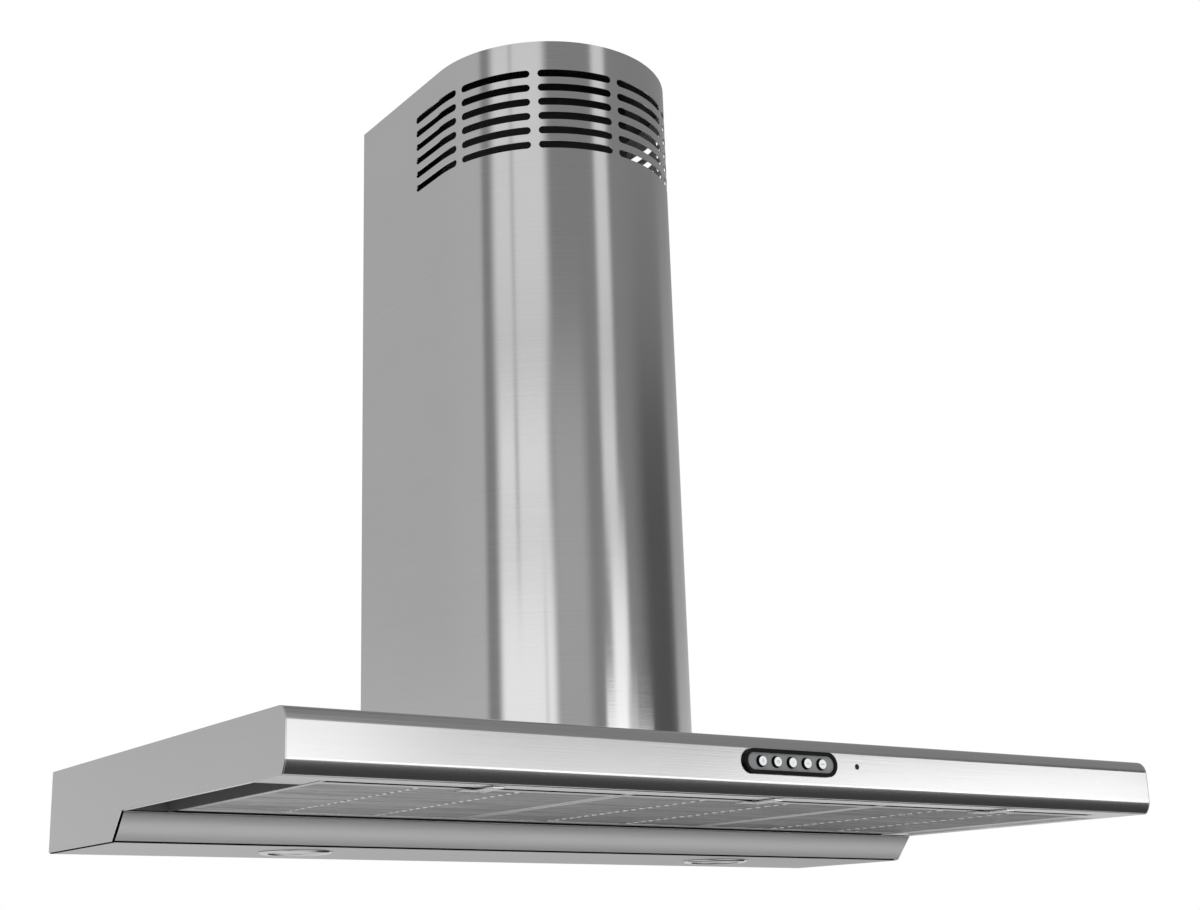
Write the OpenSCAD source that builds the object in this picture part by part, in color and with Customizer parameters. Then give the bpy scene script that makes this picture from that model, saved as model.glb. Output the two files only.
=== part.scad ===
// Wall mounted chimney range hood, millimetres.
// Frame: X to the right as seen from the room, Y towards the wall, Z up.
// The origin lies on the wall plane, midway between the two hanging holes of the back panel.

/* [Canopy] */
// Width of the canopy
canopy_w = 900; // [840:10:960]
// Depth of the canopy from the wall to the front face
canopy_d = 500; // [490:1:520]
// Height of the thin front part of the canopy
thin_h = 49; // [46:1:54]
// Height of the canopy at the wall, over the lamp box
rear_h = 74; // [70:1:80]
// Radius of the upper front edge
top_round = 8; // [5:0.5:10]
// Radius of the lower front edge
low_round = 12; // [9:0.5:14]
// Depth of the bottom rim in front of the filters
rim_d = 28; // [24:1:32]
// Depth of the closed front corners of the underside
corner_d = 59; // [50:1:66]
// Width of the recessed strip beside the filters
side_strip_w = 41; // [36:1:46]
// Height of the recess beside the filters
recess_h = 14; // [12:1:18]
// Thickness of the outer stainless sheet
sheet_t = 1; // [0.8:0.1:1.2]
// Thickness of the side panels
side_t = 1.2; // [1:0.1:1.5]
// Thickness of the back panel
back_t = 1.2; // [1:0.1:2]

/* [Wall fixing] */
// Depth of the hanging holes below the canopy top
hang_drop = 25; // [20:1:30]
// Distance between the two hanging holes
hang_span = 600; // [560:10:640]
// Radius of a hanging hole
hang_r = 4.5; // [3.5:0.25:6]
// Height of the chimney bracket strip
bracket_h = 30; // [20:1:34]
// Length of the bracket arms along the chimney sides
bracket_arm = 40; // [25:1:60]
// Distance between the bracket holes
bracket_span = 200; // [160:5:220]
// Radius of a bracket hole
bracket_hole_r = 3; // [2.5:0.25:4]
// Thickness of the bracket
bracket_t = 1.5; // [1.2:0.1:2]

/* [Lamp box] */
// Distance from the wall to the lower edge of the slanted face
lamp_low_d = 163; // [156:1:168]
// Distance from the wall to the upper edge of the slanted face
lamp_high_d = 183.5; // [180:0.5:188]
// Width of the folded flange at the top of the slanted face
lamp_flange = 14; // [10:1:18]
// Distance of each lamp from the centre line
lamp_x = 247.5; // [200:0.5:280]
// Distance of the lamps from the wall
lamp_d = 96; // [80:1:110]
// Radius of the hole for a lamp
lamp_hole_r = 31; // [29:0.5:33]
// Outer radius of the lamp ring
lamp_ring_r = 34.5; // [34:0.5:38]
// Height of the lamp cup
lamp_cup_h = 34; // [30:1:40]

/* [Chimney] */
// Height of the chimney cover above the canopy
chimney_h = 726; // [640:2:760]
// Radius of the half-round chimney front, half the chimney width
chimney_r = 130; // [130:0.5:136]
// Length of the flat chimney sides from the wall
chimney_side = 170; // [168:1:180]
// Rows of air slots
slot_rows = 6; // [4:1:7]
// Slot columns on each side of the centre line
slot_columns = 3; // [2:1:3]
// Length of an air slot
slot_l = 78; // [60:1:80]
// Height of an air slot
slot_h = 8; // [5:0.5:9]
// Gap between neighbouring slots in a row
slot_gap = 8; // [6:0.5:12]
// Distance between slot rows
slot_pitch = 15.75; // [14:0.25:18]
// Distance from the chimney top to the first slot row
slot_drop = 36; // [30:1:50]
// Distance from the chimney top to the air deflector
deflector_drop = 6; // [4:0.5:10]
// Height of the rear wall of the air deflector
deflector_h = 115; // [110:1:130]
// Thickness of the air deflector
deflector_t = 2; // [1.5:0.25:2.5]
// Radius of the duct passage in the air deflector
passage_r = 100; // [95:1:102]

/* [Filters] */
// Number of grease filters side by side
filter_n = 3; // [3:1:3]
// Thickness of a filter frame
filter_t = 9; // [8:0.5:10]
// Width of the frame border round the mesh
filter_border = 13; // [12:0.5:16]
// Thickness of the frame sheet
filter_sheet = 1; // [0.8:0.1:1.2]
// Gap between neighbouring filters, and beside the outer ones
filter_gap = 1.5; // [1:0.25:2.5]
// Gap between the filter front and the rim
filter_clear = 0.8; // [0.6:0.1:1.2]
// Open slit between the filters and the lamp box
rear_slit = 16.5; // [15:0.5:20]
// Width of a hanging tab at the rear of a filter
tab_w = 24; // [18:1:30]
// Distance of the hanging tabs from the middle of the filter
tab_x = 90; // [70:1:100]
// Width of the pull latch
latch_w = 24; // [18:1:30]
// Length of the pull latch
latch_l = 40; // [34:1:50]
// Travel of the latch
latch_travel = 6; // [4:0.5:7]

/* [Controls] */
// Offset of the control panel to the right of the centre line
control_x = 6; // [-40:1:40]
// Depth of the control panel centre below the canopy top
control_drop = 21; // [19:0.5:24]
// Length of the bezel
bezel_l = 99; // [96:1:110]
// Height of the bezel
bezel_h = 20.5; // [19:0.5:22]
// Width of the bezel ring
bezel_ring = 3.2; // [2.5:0.1:3.5]
// How far the bezel stands proud of the fascia
bezel_proud = 3; // [2.5:0.25:4]
// Radius of a push button
button_r = 4; // [3.5:0.1:4.5]
// Distance between push buttons
button_pitch = 16; // [14:0.5:18]
// Number of push buttons
button_n = 5; // [5:1:5]
// How far the buttons stand proud of the fascia
button_proud = 4.5; // [4:0.25:5.5]
// Travel of a push button
button_travel = 1.5; // [1:0.1:2]
// Distance of the status lens from the middle of the control panel
lens_x = 74; // [68:1:90]
// Radius of the status lens
lens_r = 1.75; // [1.25:0.05:2.5]

/* [Blower] */
// Width of the blower housing
housing_w = 210; // [200:1:212]
// Depth of the blower housing
housing_d = 225; // [222:1:228]
// Height of the blower housing
housing_h = 245; // [238:1:260]
// Distance from the wall to the rear of the blower housing
housing_back = 10; // [6:1:12]
// Radius of the impeller
impeller_r = 62; // [60:0.5:63]
// Width of the impeller
impeller_w = 104; // [96:1:106]
// Radial depth of the impeller blades
blade_d = 11; // [8:0.5:12]
// Number of impeller blades
blade_n = 24; // [18:1:30]
// Width inside the scroll
scroll_w = 110; // [108:1:114]
// Thickness of the scroll wall
scroll_t = 2; // [1.5:0.25:2.5]
// Outer radius of the duct collar
collar_r = 74.5; // [70:0.5:75]
// Height of the duct collar above its flange
collar_h = 48; // [44:1:60]
// Wall of the duct collar
collar_t = 2; // [1.5:0.25:2.5]
// Thickness of a damper flap
flap_t = 1.2; // [1:0.1:1.5]
// Radius of the damper pin
pin_r = 1.5; // [1.25:0.05:1.75]
// Radius of the motor
motor_r = 38; // [34:0.5:40]
// Radius of the motor shaft
shaft_r = 4; // [3:0.25:5]
// Radius of the cable bore in the gland
gland_bore_r = 4.2; // [3.5:0.1:4.5]

/* [Hidden] */
$fn = 64;
// Running clearance of a shaft or pin in its hole
run = 0.06;
// Clearance between pieces that move past each other
clear = 0.3;
// Overshoot of a cut past the face it opens
over = 1;

half_w = canopy_w / 2;
in_x = half_w - side_t;
top_z = hang_drop;
roof_z = top_z - sheet_t;
thin_z = top_z - thin_h;
rear_z = top_z - rear_h;
front_y = -canopy_d;
rim_y = front_y + rim_d;
corner_y = front_y + corner_d;
rail_x = half_w - side_strip_w;
rail_in = rail_x - sheet_t;
recess_z = thin_z + recess_h;
hem_h = 10;
lip_w = 3;

lamp_low_y = -lamp_low_d;
lamp_high_y = -lamp_high_d;
slant = (lamp_high_y - lamp_low_y) / (thin_z - rear_z);
seam = 0.3;
cup_t = 1;
glass_t = 3;
ring_proud = 1.2;
ring_tube = 14;
bulb_r = 5;
bulb_l = 16;
socket_r = 8;
socket_h = 10;

chimney_z = top_z + chimney_h;
chimney_in = chimney_r - sheet_t;
quarter = PI / 2 * chimney_r;
slot_depth = 15;
intake_w = 180;
intake_front = 215;
intake_back = 30;
bracket_drop = 46;
bracket_z = chimney_z - bracket_drop;
deflector_z = chimney_z - deflector_drop;

filter_front = rim_y + filter_clear;
filter_rear = lamp_high_y - rear_slit;
filter_l = filter_rear - filter_front;
filter_mid = (filter_front + filter_rear) / 2;
filter_w = (2 * rail_in - (filter_n + 1) * filter_gap) / filter_n;
filter_pitch = filter_w + filter_gap;
frame_top = thin_z + filter_t;
hinge_reach = 7;
hinge_y = filter_rear + hinge_reach;
ledge_z = frame_top - filter_sheet - 0.2;
hinge_z = frame_top - filter_sheet - 0.1;
tab_reach = 10;
nose_w = 10;
nose_z = thin_z + filter_t / 2;
nose_h = 2;
riser_t = 3;
latch_t = 1.2;
latch_z = thin_z - clear - latch_t;
latch_front = front_y + low_round + 0.5;
grip_r = 1.6;

control_z = top_z - control_drop;
plate_t = 1.5;
button_hole_r = button_r + clear;
button_l = 12;
hole_margin = 4;
hole_l = (button_n - 1) * button_pitch + 2 * (button_hole_r + hole_margin);
hole_h = 2 * button_hole_r + 2;
case_margin = 12;
case_l = hole_l + 2 * case_margin;
case_h = 2 * (control_drop - top_round);
case_d = 20;
case_t = 1.5;
board_t = 1.6;
plunger_h = 4;
switch_h = 3;
board_y = front_y - button_proud + button_l + button_travel + clear + plunger_h;
switch_w = 6;
plunger_r = 1.7;
lens_l = 6;

housing_t = 1;
housing_x = housing_w / 2;
housing_top = top_z + housing_h;
housing_rear = -housing_back;
housing_front = housing_rear - housing_d;
flange_w = 12;
screw_x = housing_x + flange_w / 2;
screw_inset = 25;
screw_spacing = 140;
screw_rows = [housing_rear - screw_inset, housing_rear - screw_inset - screw_spacing];
screw_tip = 4;
screw_r = 1.75;
head_r = 3.8;
head_h = 2.4;
collar_y = -148;
collar_flange_r = collar_r + 9.5;
collar_flange_t = 2;
collar_screw_r = collar_r + 5;
screw_angles = [45:90:315];
collar_z = housing_top + collar_flange_t;
pin_rise = 20;
pin_z = collar_z + pin_rise;
stop_z = pin_z - pin_r - clear;
stop_h = 2;
stop_w = 3;
knuckle_r = 3;
knuckle_l = 20;
knuckle_places = [-40, 18];
flap_r = collar_r - collar_t - 1.5;

axis_y = -95;
axis_rise = 100;
axis_z = top_z + axis_rise;
throat_r = impeller_r + 4;
volute_r = 88;
tongue_a = 100;
outlet_rear = collar_y + (collar_y - axis_y + volute_r);
outlet_flange = collar_screw_r;
inlet_r = impeller_r - 12;
scroll_x = scroll_w / 2;
hub_r = 12;
hub_l = 12;
disc_t = 2;
motor_front = 7;
motor_l = 56;
motor_back = motor_front + motor_l;
motor_wall = 1.5;
cap_t = 2;
bush_r = 9;
bush_l = 6;
boss_r = 13;
stator_l = 34;
stator_x = motor_front + motor_l / 2;
rotor_r = 23.4;
stator_bore = 24;
arm_n = 3;
arm_w = 12;
arm_r = inlet_r + 8;
grommet_r = 6;
bolt_r = 2;
bracket_plate = 1.5;

box_w = 116;
box_h = 75;
box_d = 38;
box_t = 2;
box_rise = 85;
box_z = top_z + box_rise;
box_front = housing_front - box_d;
gland_inset = 26;
gland_x = box_w / 2 - gland_inset;
gland_flange_r = 10;
gland_tail_r = 6;
gland_h = 16;
capacitor_r = 14;
capacitor_l = 46;
capacitor_x = -box_w / 2 + box_t + 2;
stud_r = 5;
stud_l = 4;
block_w = 36;
block_x = capacitor_x + capacitor_l + 2 * stud_l;
gland_tail = 10;

// Extrudes an outline drawn in Y and Z along X, between two places.
module along_x(x0, x1) {
    translate([x0, 0, 0]) rotate([90, 0, 90]) linear_extrude(x1 - x0) children();
}

// Extrudes an outline drawn in X and Z along Y, between two places.
module along_y(y0, y1) {
    translate([0, y1, 0]) rotate([90, 0, 0]) linear_extrude(y1 - y0) children();
}

// A box between two corners.
module span(low, high) {
    translate(low) cube(high - low);
}

// An outline with half-round ends, l long over all and h high.
module stadium(l, h) {
    square([l - h, h], center = true);
    for (s = [-1, 1]) translate([s * (l - h) / 2, 0]) circle(h / 2);
}

// The side outline of the thin canopy, drawn in Y and Z and set in by d.
module canopy_section(d, back) {
    up = top_z - d;
    low = thin_z + d;
    translate([front_y + top_round, top_z - top_round]) circle(top_round - d);
    translate([front_y + low_round, thin_z + low_round]) circle(low_round - d);
    translate([front_y + top_round, top_z - top_round])
        square([back - front_y - top_round, top_round - d]);
    translate([front_y + low_round, low])
        square([back - front_y - low_round, low_round - d]);
    translate([front_y + d, thin_z + low_round])
        square([back - front_y - d, thin_h - top_round - low_round]);
}

// Y of the slanted lamp box face at height z, set in by d.
function slant_y(z, d) = lamp_low_y + (z - rear_z) * slant + d * sqrt(1 + slant * slant);

function filter_x(i) = (i - (filter_n - 1) / 2) * filter_pitch;
function button_x(i) = control_x + (i - (button_n - 1) / 2) * button_pitch;

module canopy_shell() {
    color("silver") difference() {
        union() {
            along_x(-in_x, in_x) difference() {
                canopy_section(0, 0);
                canopy_section(sheet_t, over);
            }
            span([-rail_in, rim_y - sheet_t, thin_z], [rail_in, rim_y, thin_z + hem_h]);
        }
        span([-rail_x, rim_y, thin_z - over], [rail_x, over, thin_z + 2 * sheet_t]);
        span([-half_w, corner_y, thin_z - over], [half_w, over, thin_z + 2 * sheet_t]);
        span([-intake_w / 2, -intake_front, roof_z - over],
             [intake_w / 2, -intake_back, top_z + over]);
        along_y(front_y - over, front_y + 2 * sheet_t)
            translate([control_x, control_z]) stadium(hole_l, hole_h);
        along_y(front_y - over, front_y + 2 * sheet_t)
            translate([control_x + lens_x, control_z]) circle(lens_r);
        for (i = [0:filter_n - 1])
            span([filter_x(i) - nose_w / 2 - 2, rim_y - 2 * sheet_t, nose_z - nose_h],
                 [filter_x(i) + nose_w / 2 + 2, rim_y + over, nose_z + nose_h]);
        for (x = [-screw_x, screw_x], y = screw_rows)
            translate([x, y, roof_z - over]) cylinder(r = screw_r, h = sheet_t + 2 * over);
    }
}

module side_panel() {
    along_x(-half_w, -in_x) {
        canopy_section(0, 0);
        polygon([[0, thin_z + over], [0, rear_z], [lamp_low_y, rear_z], [lamp_high_y, thin_z],
                 [lamp_high_y, thin_z + over]]);
    }
    span([-in_x, corner_y, thin_z], [-in_x + lip_w, lamp_high_y - clear, thin_z + sheet_t]);
}

module left_side_panel() {
    color("silver") side_panel();
}

module right_side_panel() {
    color("silver") mirror([1, 0, 0]) side_panel();
}

module back_panel() {
    color("lightgrey") difference() {
        span([-in_x, -back_t, rear_z], [in_x, 0, roof_z]);
        for (x = [-hang_span / 2, hang_span / 2])
            translate([x, over, 0]) rotate([90, 0, 0]) cylinder(r = hang_r, h = back_t + 2 * over);
    }
}

module lamp_panel() {
    w = in_x - seam;
    flange_y = lamp_high_y + lamp_flange;
    color("silver") difference() {
        along_x(-w, w) polygon([
            [-back_t, rear_z], [lamp_low_y, rear_z], [lamp_high_y, thin_z], [flange_y, thin_z],
            [flange_y, thin_z - sheet_t], [slant_y(thin_z - sheet_t, sheet_t), thin_z - sheet_t],
            [slant_y(rear_z + sheet_t, sheet_t), rear_z + sheet_t], [-back_t, rear_z + sheet_t]]);
        for (x = [-lamp_x, lamp_x])
            translate([x, -lamp_d, rear_z - over]) cylinder(r = lamp_hole_r, h = sheet_t + 2 * over);
    }
}

// The folded strip that closes the recess between a side panel and the outer filter.
module side_channel() {
    span([-rail_x, rim_y, thin_z], [-rail_in, lamp_high_y - clear, recess_z]);
    span([-in_x, corner_y, recess_z - sheet_t], [-rail_x, lamp_high_y - clear, recess_z]);
    span([-in_x, corner_y - sheet_t, thin_z + sheet_t], [-rail_x, corner_y, recess_z]);
}

module left_side_channel() {
    color("darkgrey") side_channel();
}

module right_side_channel() {
    color("darkgrey") mirror([1, 0, 0]) side_channel();
}

module rear_filter_rail() {
    web = lamp_high_y + 0.5;
    color("darkgrey") {
        span([-rail_in, hinge_y + clear, ledge_z - sheet_t], [rail_in, web + sheet_t, ledge_z]);
        span([-rail_in, web, thin_z], [rail_in, web + sheet_t, ledge_z]);
        span([-rail_in, web, thin_z], [rail_in, lamp_high_y + lamp_flange, thin_z + sheet_t]);
    }
}

// The chimney outline seen from above, set in by d.
module chimney_outline(d, back) {
    translate([0, -chimney_side]) circle(chimney_r - d, $fn = 96);
    translate([d - chimney_r, -chimney_side]) square([2 * (chimney_r - d), chimney_side + back]);
}

// Y of the chimney sheet at the distance s along it from the front centre line.
function sheet_y(s) =
    s < quarter ? -chimney_side - chimney_r * cos(s / chimney_r * 180 / PI) : -chimney_side + s - quarter;

// Cuts one air slot with round ends, from s0 to s1 along the sheet, square to the slot's middle.
module slot_cut(s0, s1) {
    mid = (s0 + s1) / 2;
    turned = mid < quarter;
    turn = turned ? mid / chimney_r * 180 / PI : 90;
    long = turned ? 2 * chimney_r * sin((s1 - s0) / chimney_r * 90 / PI) : sheet_y(s1) - sheet_y(s0);
    shift = turned ? 0 : (sheet_y(s0) + sheet_y(s1)) / 2 + chimney_side;
    translate([0, -chimney_side, 0]) rotate([0, 0, turn])
        along_y(-chimney_r - over, -chimney_r + slot_depth) translate([shift, 0])
            stadium(long, slot_h);
}

module chimney_cover() {
    step = slot_l + slot_gap;
    color("silver") difference() {
        translate([0, 0, top_z]) linear_extrude(chimney_h) difference() {
            chimney_outline(0, 0);
            chimney_outline(sheet_t, over);
        }
        for (row = [0:slot_rows - 1], k = [0:slot_columns - 1], side = [0, 1])
            mirror([side, 0, 0])
                translate([0, 0, chimney_z - slot_drop - row * slot_pitch])
                    slot_cut(slot_gap / 2 + k * step, slot_gap / 2 + k * step + slot_l);
    }
}

module chimney_bracket() {
    color("lightgrey") difference() {
        union() {
            span([-chimney_in, -bracket_t, bracket_z], [chimney_in, 0, bracket_z + bracket_h]);
            for (s = [0, 1]) mirror([s, 0, 0])
                span([-chimney_in, -bracket_arm, bracket_z],
                     [-chimney_in + bracket_t, 0, bracket_z + bracket_h]);
        }
        for (x = [-bracket_span / 2, bracket_span / 2])
            translate([x, over, bracket_z + bracket_h / 2]) rotate([90, 0, 0])
                cylinder(r = bracket_hole_r, h = bracket_t + 2 * over);
    }
}

// Black plastic air guide under the chimney top. The duct passes through its round passage and
// the mains cord through its small hole, and its lid and rear wall keep room air off the wall.
module air_deflector() {
    wall_x = chimney_in - bracket_t - clear;
    wall_y = -bracket_t - clear;
    foot_z = deflector_z - deflector_h;
    color("black") difference() {
        union() {
            translate([0, 0, deflector_z - deflector_t]) linear_extrude(deflector_t)
                chimney_outline(sheet_t + clear, 0);
            span([-wall_x, wall_y - deflector_t, foot_z], [wall_x, wall_y, deflector_z - over]);
            translate([0, collar_y, foot_z])
                cylinder(r = passage_r + deflector_t, h = deflector_h - over);
        }
        translate([0, collar_y, foot_z - over])
            cylinder(r = passage_r, h = deflector_h + 2 * over);
        translate([gland_x, housing_front - box_d / 2, deflector_z - deflector_t - over])
            cylinder(r = gland_tail_r + 2, h = deflector_t + 2 * over);
    }
}

module blower_housing() {
    color("lightgrey") difference() {
        union() {
            span([-housing_x, housing_front, top_z], [housing_x, housing_rear, housing_top]);
            for (s = [0, 1]) mirror([s, 0, 0])
                span([housing_x - over, screw_rows[1] - flange_w, top_z],
                     [housing_x + flange_w, screw_rows[0] + flange_w, top_z + housing_t]);
        }
        span([-housing_x + housing_t, housing_front + housing_t, top_z - over],
             [housing_x - housing_t, housing_rear - housing_t, housing_top - housing_t]);
        translate([0, collar_y, housing_top - 2 * housing_t])
            cylinder(r = collar_r - collar_t, h = 4 * housing_t);
        for (x = [-screw_x, screw_x], y = screw_rows)
            translate([x, y, top_z - over]) cylinder(r = screw_r, h = housing_t + 2 * over);
        for (a = screw_angles) translate([0, collar_y, housing_top - 2 * housing_t])
            rotate([0, 0, a]) translate([collar_screw_r, 0, 0])
                cylinder(r = screw_r, h = 4 * housing_t);
    }
}

// A pan head screw with its seat at the origin and its shank pointing down.
module screw(shank) {
    translate([0, 0, -shank]) cylinder(r = screw_r, h = shank);
    difference() {
        cylinder(r = head_r, h = head_h, $fn = 32);
        for (a = [0, 90]) rotate([0, 0, a])
            translate([0, 0, head_h]) cube([3.6, 0.8, 2], center = true);
    }
}

module blower_screws() {
    color("silver") {
        for (x = [-screw_x, screw_x], y = screw_rows)
            translate([x, y, top_z + housing_t]) screw(housing_t + sheet_t + screw_tip);
        for (a = screw_angles) translate([0, collar_y, collar_z]) rotate([0, 0, a])
            translate([collar_screw_r, 0, 0]) screw(collar_flange_t + housing_t + scroll_t + screw_tip);
    }
}

// The spiral outline of the scroll, drawn in Y and Z and grown by d, with its outlet up to z.
module volute(d, z) {
    turn = tongue_a + 180;
    polygon(concat(
        [for (a = [tongue_a:-10:-180])
            let (r = throat_r + d + (volute_r - throat_r) * (tongue_a - a) / turn)
            [axis_y + r * cos(a), axis_z + r * sin(a)]],
        [[axis_y - volute_r - d, z], [outlet_rear + d, z]]));
}

module scroll_half() {
    difference() {
        union() {
            along_x(-scroll_x - scroll_t, 0) volute(scroll_t, housing_top - housing_t);
            span([-outlet_flange, collar_y - outlet_flange, housing_top - housing_t - scroll_t],
                 [0, collar_y + outlet_flange, housing_top - housing_t]);
        }
        along_x(-scroll_x, over) volute(0, housing_top);
        translate([-scroll_x - scroll_t - over, axis_y, axis_z]) rotate([0, 90, 0])
            cylinder(r = inlet_r, h = scroll_t + 2 * over);
        for (a = screw_angles) translate([0, collar_y, 0]) rotate([0, 0, a])
            translate([collar_screw_r, 0, housing_top - housing_t - scroll_t - over])
                cylinder(r = screw_r, h = scroll_t + 2 * over);
    }
}

// Turns a shape about the motor axis to arm k.
module arm_place(k) {
    translate([0, axis_y, axis_z]) rotate([k * 360 / arm_n + 30, 0, 0]) children();
}

module scroll_left_half() {
    color("dimgrey") scroll_half();
}

module scroll_right_half() {
    color("dimgrey") difference() {
        mirror([1, 0, 0]) scroll_half();
        for (k = [0:arm_n - 1]) arm_place(k)
            translate([scroll_x - over, 0, arm_r]) rotate([0, 90, 0])
                cylinder(r = bolt_r, h = scroll_t + 2 * over);
    }
}

// A round bar along X on the motor axis.
module bar(r, x0, x1) {
    translate([x0, axis_y, axis_z]) rotate([0, 90, 0]) cylinder(r = r, h = x1 - x0);
}

module impeller() {
    ring = 2;
    color("dimgrey") difference() {
        union() {
            along_x(-impeller_w / 2, impeller_w / 2) translate([axis_y, axis_z])
                for (k = [0:blade_n - 1]) rotate(k * 360 / blade_n)
                    translate([impeller_r - blade_d, 0]) rotate(20)
                        square([blade_d - 1, 1.2]);
            for (s = [-1, 1]) difference() {
                bar(impeller_r, s * (impeller_w - ring) / 2 - ring / 2,
                    s * (impeller_w - ring) / 2 + ring / 2);
                bar(impeller_r - blade_d, -impeller_w, impeller_w);
            }
            bar(impeller_r - 1, -disc_t / 2, disc_t / 2);
            bar(hub_r, motor_front - 3 - hub_l, motor_front - 3);
        }
        bar(shaft_r, -impeller_w, impeller_w);
    }
}

module motor_casing() {
    color("lightgrey") difference() {
        union() {
            difference() {
                bar(motor_r, motor_front, motor_back);
                bar(motor_r - motor_wall, motor_front + cap_t, motor_back - cap_t);
            }
            bar(boss_r, motor_front, motor_front + bush_l);
            bar(boss_r, motor_back - cap_t - bush_l, motor_back);
        }
        bar(bush_r, motor_front - over, motor_front + bush_l + over);
        bar(bush_r, motor_back - cap_t - bush_l - over, motor_back - cap_t);
    }
}

module motor_stator() {
    color("sienna") difference() {
        bar(motor_r - motor_wall, stator_x - stator_l / 2, stator_x + stator_l / 2);
        bar(stator_bore, stator_x - stator_l, stator_x + stator_l);
    }
}

module motor_rotor() {
    color("slategrey") difference() {
        bar(rotor_r, stator_x - stator_l / 2, stator_x + stator_l / 2);
        bar(shaft_r, stator_x - stator_l, stator_x + stator_l);
    }
}

module motor_shaft() {
    color("silver") bar(shaft_r, motor_front - 3 - hub_l, motor_back - cap_t - clear);
}

module motor_bushes() {
    color("goldenrod") difference() {
        union() {
            bar(bush_r, motor_front, motor_front + bush_l);
            bar(bush_r, motor_back - cap_t - bush_l, motor_back - cap_t);
        }
        bar(shaft_r + run, motor_front - over, motor_back + over);
    }
}

module motor_bracket() {
    color("lightgrey") difference() {
        union() {
            bar(boss_r + 4, motor_back, motor_back + bracket_plate);
            for (k = [0:arm_n - 1]) arm_place(k)
                span([motor_back, -arm_w / 2, 0],
                     [motor_back + bracket_plate, arm_w / 2, arm_r + arm_w / 2]);
        }
        for (k = [0:arm_n - 1]) arm_place(k)
            translate([motor_back - over, 0, arm_r]) rotate([0, 90, 0])
                cylinder(r = bolt_r, h = bracket_plate + 2 * over);
    }
}

module motor_grommets() {
    x0 = scroll_x + scroll_t;
    color("black") for (k = [0:arm_n - 1]) arm_place(k)
        translate([x0, 0, arm_r]) rotate([0, 90, 0]) difference() {
            cylinder(r = grommet_r, h = motor_back - x0);
            translate([0, 0, -over]) cylinder(r = bolt_r, h = motor_back - x0 + 2 * over);
        }
}

module motor_bolts() {
    nut = 3;
    color("silver") for (k = [0:arm_n - 1]) arm_place(k)
        translate([motor_back + bracket_plate, 0, arm_r]) rotate([0, 90, 0]) {
            cylinder(r = bolt_r + 2, h = nut, $fn = 6);
            translate([0, 0, scroll_x - motor_back - bracket_plate])
                cylinder(r = bolt_r, h = motor_back + bracket_plate - scroll_x + nut / 2);
        }
}

module terminal_box() {
    color("whitesmoke") difference() {
        span([-box_w / 2, box_front, box_z], [box_w / 2, housing_front, box_z + box_h]);
        span([-box_w / 2 + box_t, box_front - over, box_z + box_t],
             [box_w / 2 - box_t, housing_front - box_t, box_z + box_h - box_t]);
        translate([gland_x, housing_front - box_d / 2, box_z + box_h - box_t - over])
            cylinder(r = gland_tail_r, h = box_t + 2 * over);
    }
}

module terminal_lid() {
    color("whitesmoke") {
        span([-box_w / 2, box_front - box_t, box_z], [box_w / 2, box_front, box_z + box_h]);
        difference() {
            span([-box_w / 2 + box_t + clear, box_front - over, box_z + box_t + clear],
                 [box_w / 2 - box_t - clear, box_front + 3, box_z + box_h - box_t - clear]);
            span([-box_w / 2 + 2 * box_t, box_front - 2, box_z + 2 * box_t],
                 [box_w / 2 - 2 * box_t, box_front + 4, box_z + box_h - 2 * box_t]);
        }
    }
}

module terminal_block() {
    pole = block_w / 3;
    y1 = housing_front - box_t;
    color("ivory") difference() {
        span([block_x, y1 - 18, box_z + box_t], [block_x + block_w, y1, box_z + box_t + 22]);
        for (k = [0:2])
            translate([block_x + (k + 0.5) * pole, y1 - 18 - over, box_z + box_t + 11])
                rotate([-90, 0, 0]) cylinder(r = 2.5, h = 10 + over);
    }
}

module run_capacitor() {
    color("gainsboro")
        translate([capacitor_x, housing_front - box_t - capacitor_r, box_z + box_t + capacitor_r])
            rotate([0, 90, 0]) {
                cylinder(r = capacitor_r, h = capacitor_l);
                cylinder(r = stud_r, h = capacitor_l + stud_l);
            }
}

module cable_gland() {
    color("black") translate([gland_x, housing_front - box_d / 2, box_z + box_h])
        difference() {
            union() {
                translate([0, 0, -gland_tail]) cylinder(r = gland_tail_r, h = gland_tail);
                cylinder(r = gland_flange_r, h = 4, $fn = 6);
                cylinder(r = gland_flange_r - 2, h = gland_h);
            }
            translate([0, 0, -gland_tail - over])
                cylinder(r = gland_bore_r, h = gland_h + gland_tail + 2 * over);
        }
}

module duct_collar() {
    inner = collar_r - collar_t;
    color("black") difference() {
        union() {
            translate([0, collar_y, housing_top]) cylinder(r = collar_flange_r, h = collar_flange_t);
            translate([0, collar_y, housing_top]) cylinder(r = collar_r, h = collar_flange_t + collar_h);
        }
        translate([0, collar_y, stop_z]) cylinder(r = inner, h = collar_h + over);
        translate([0, collar_y, stop_z - stop_h - over])
            cylinder(r = inner - stop_w, h = collar_h + over);
        translate([0, collar_y, housing_top - over])
            cylinder(r = inner, h = stop_z - stop_h - housing_top + over);
        translate([-collar_r - over, collar_y, pin_z]) rotate([0, 90, 0])
            cylinder(r = pin_r, h = 2 * collar_r + 2 * over, $fn = 32);
        for (a = screw_angles) translate([0, collar_y, housing_top - over]) rotate([0, 0, a])
            translate([collar_screw_r, 0, 0]) cylinder(r = screw_r, h = collar_flange_t + 2 * over);
    }
}

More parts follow.
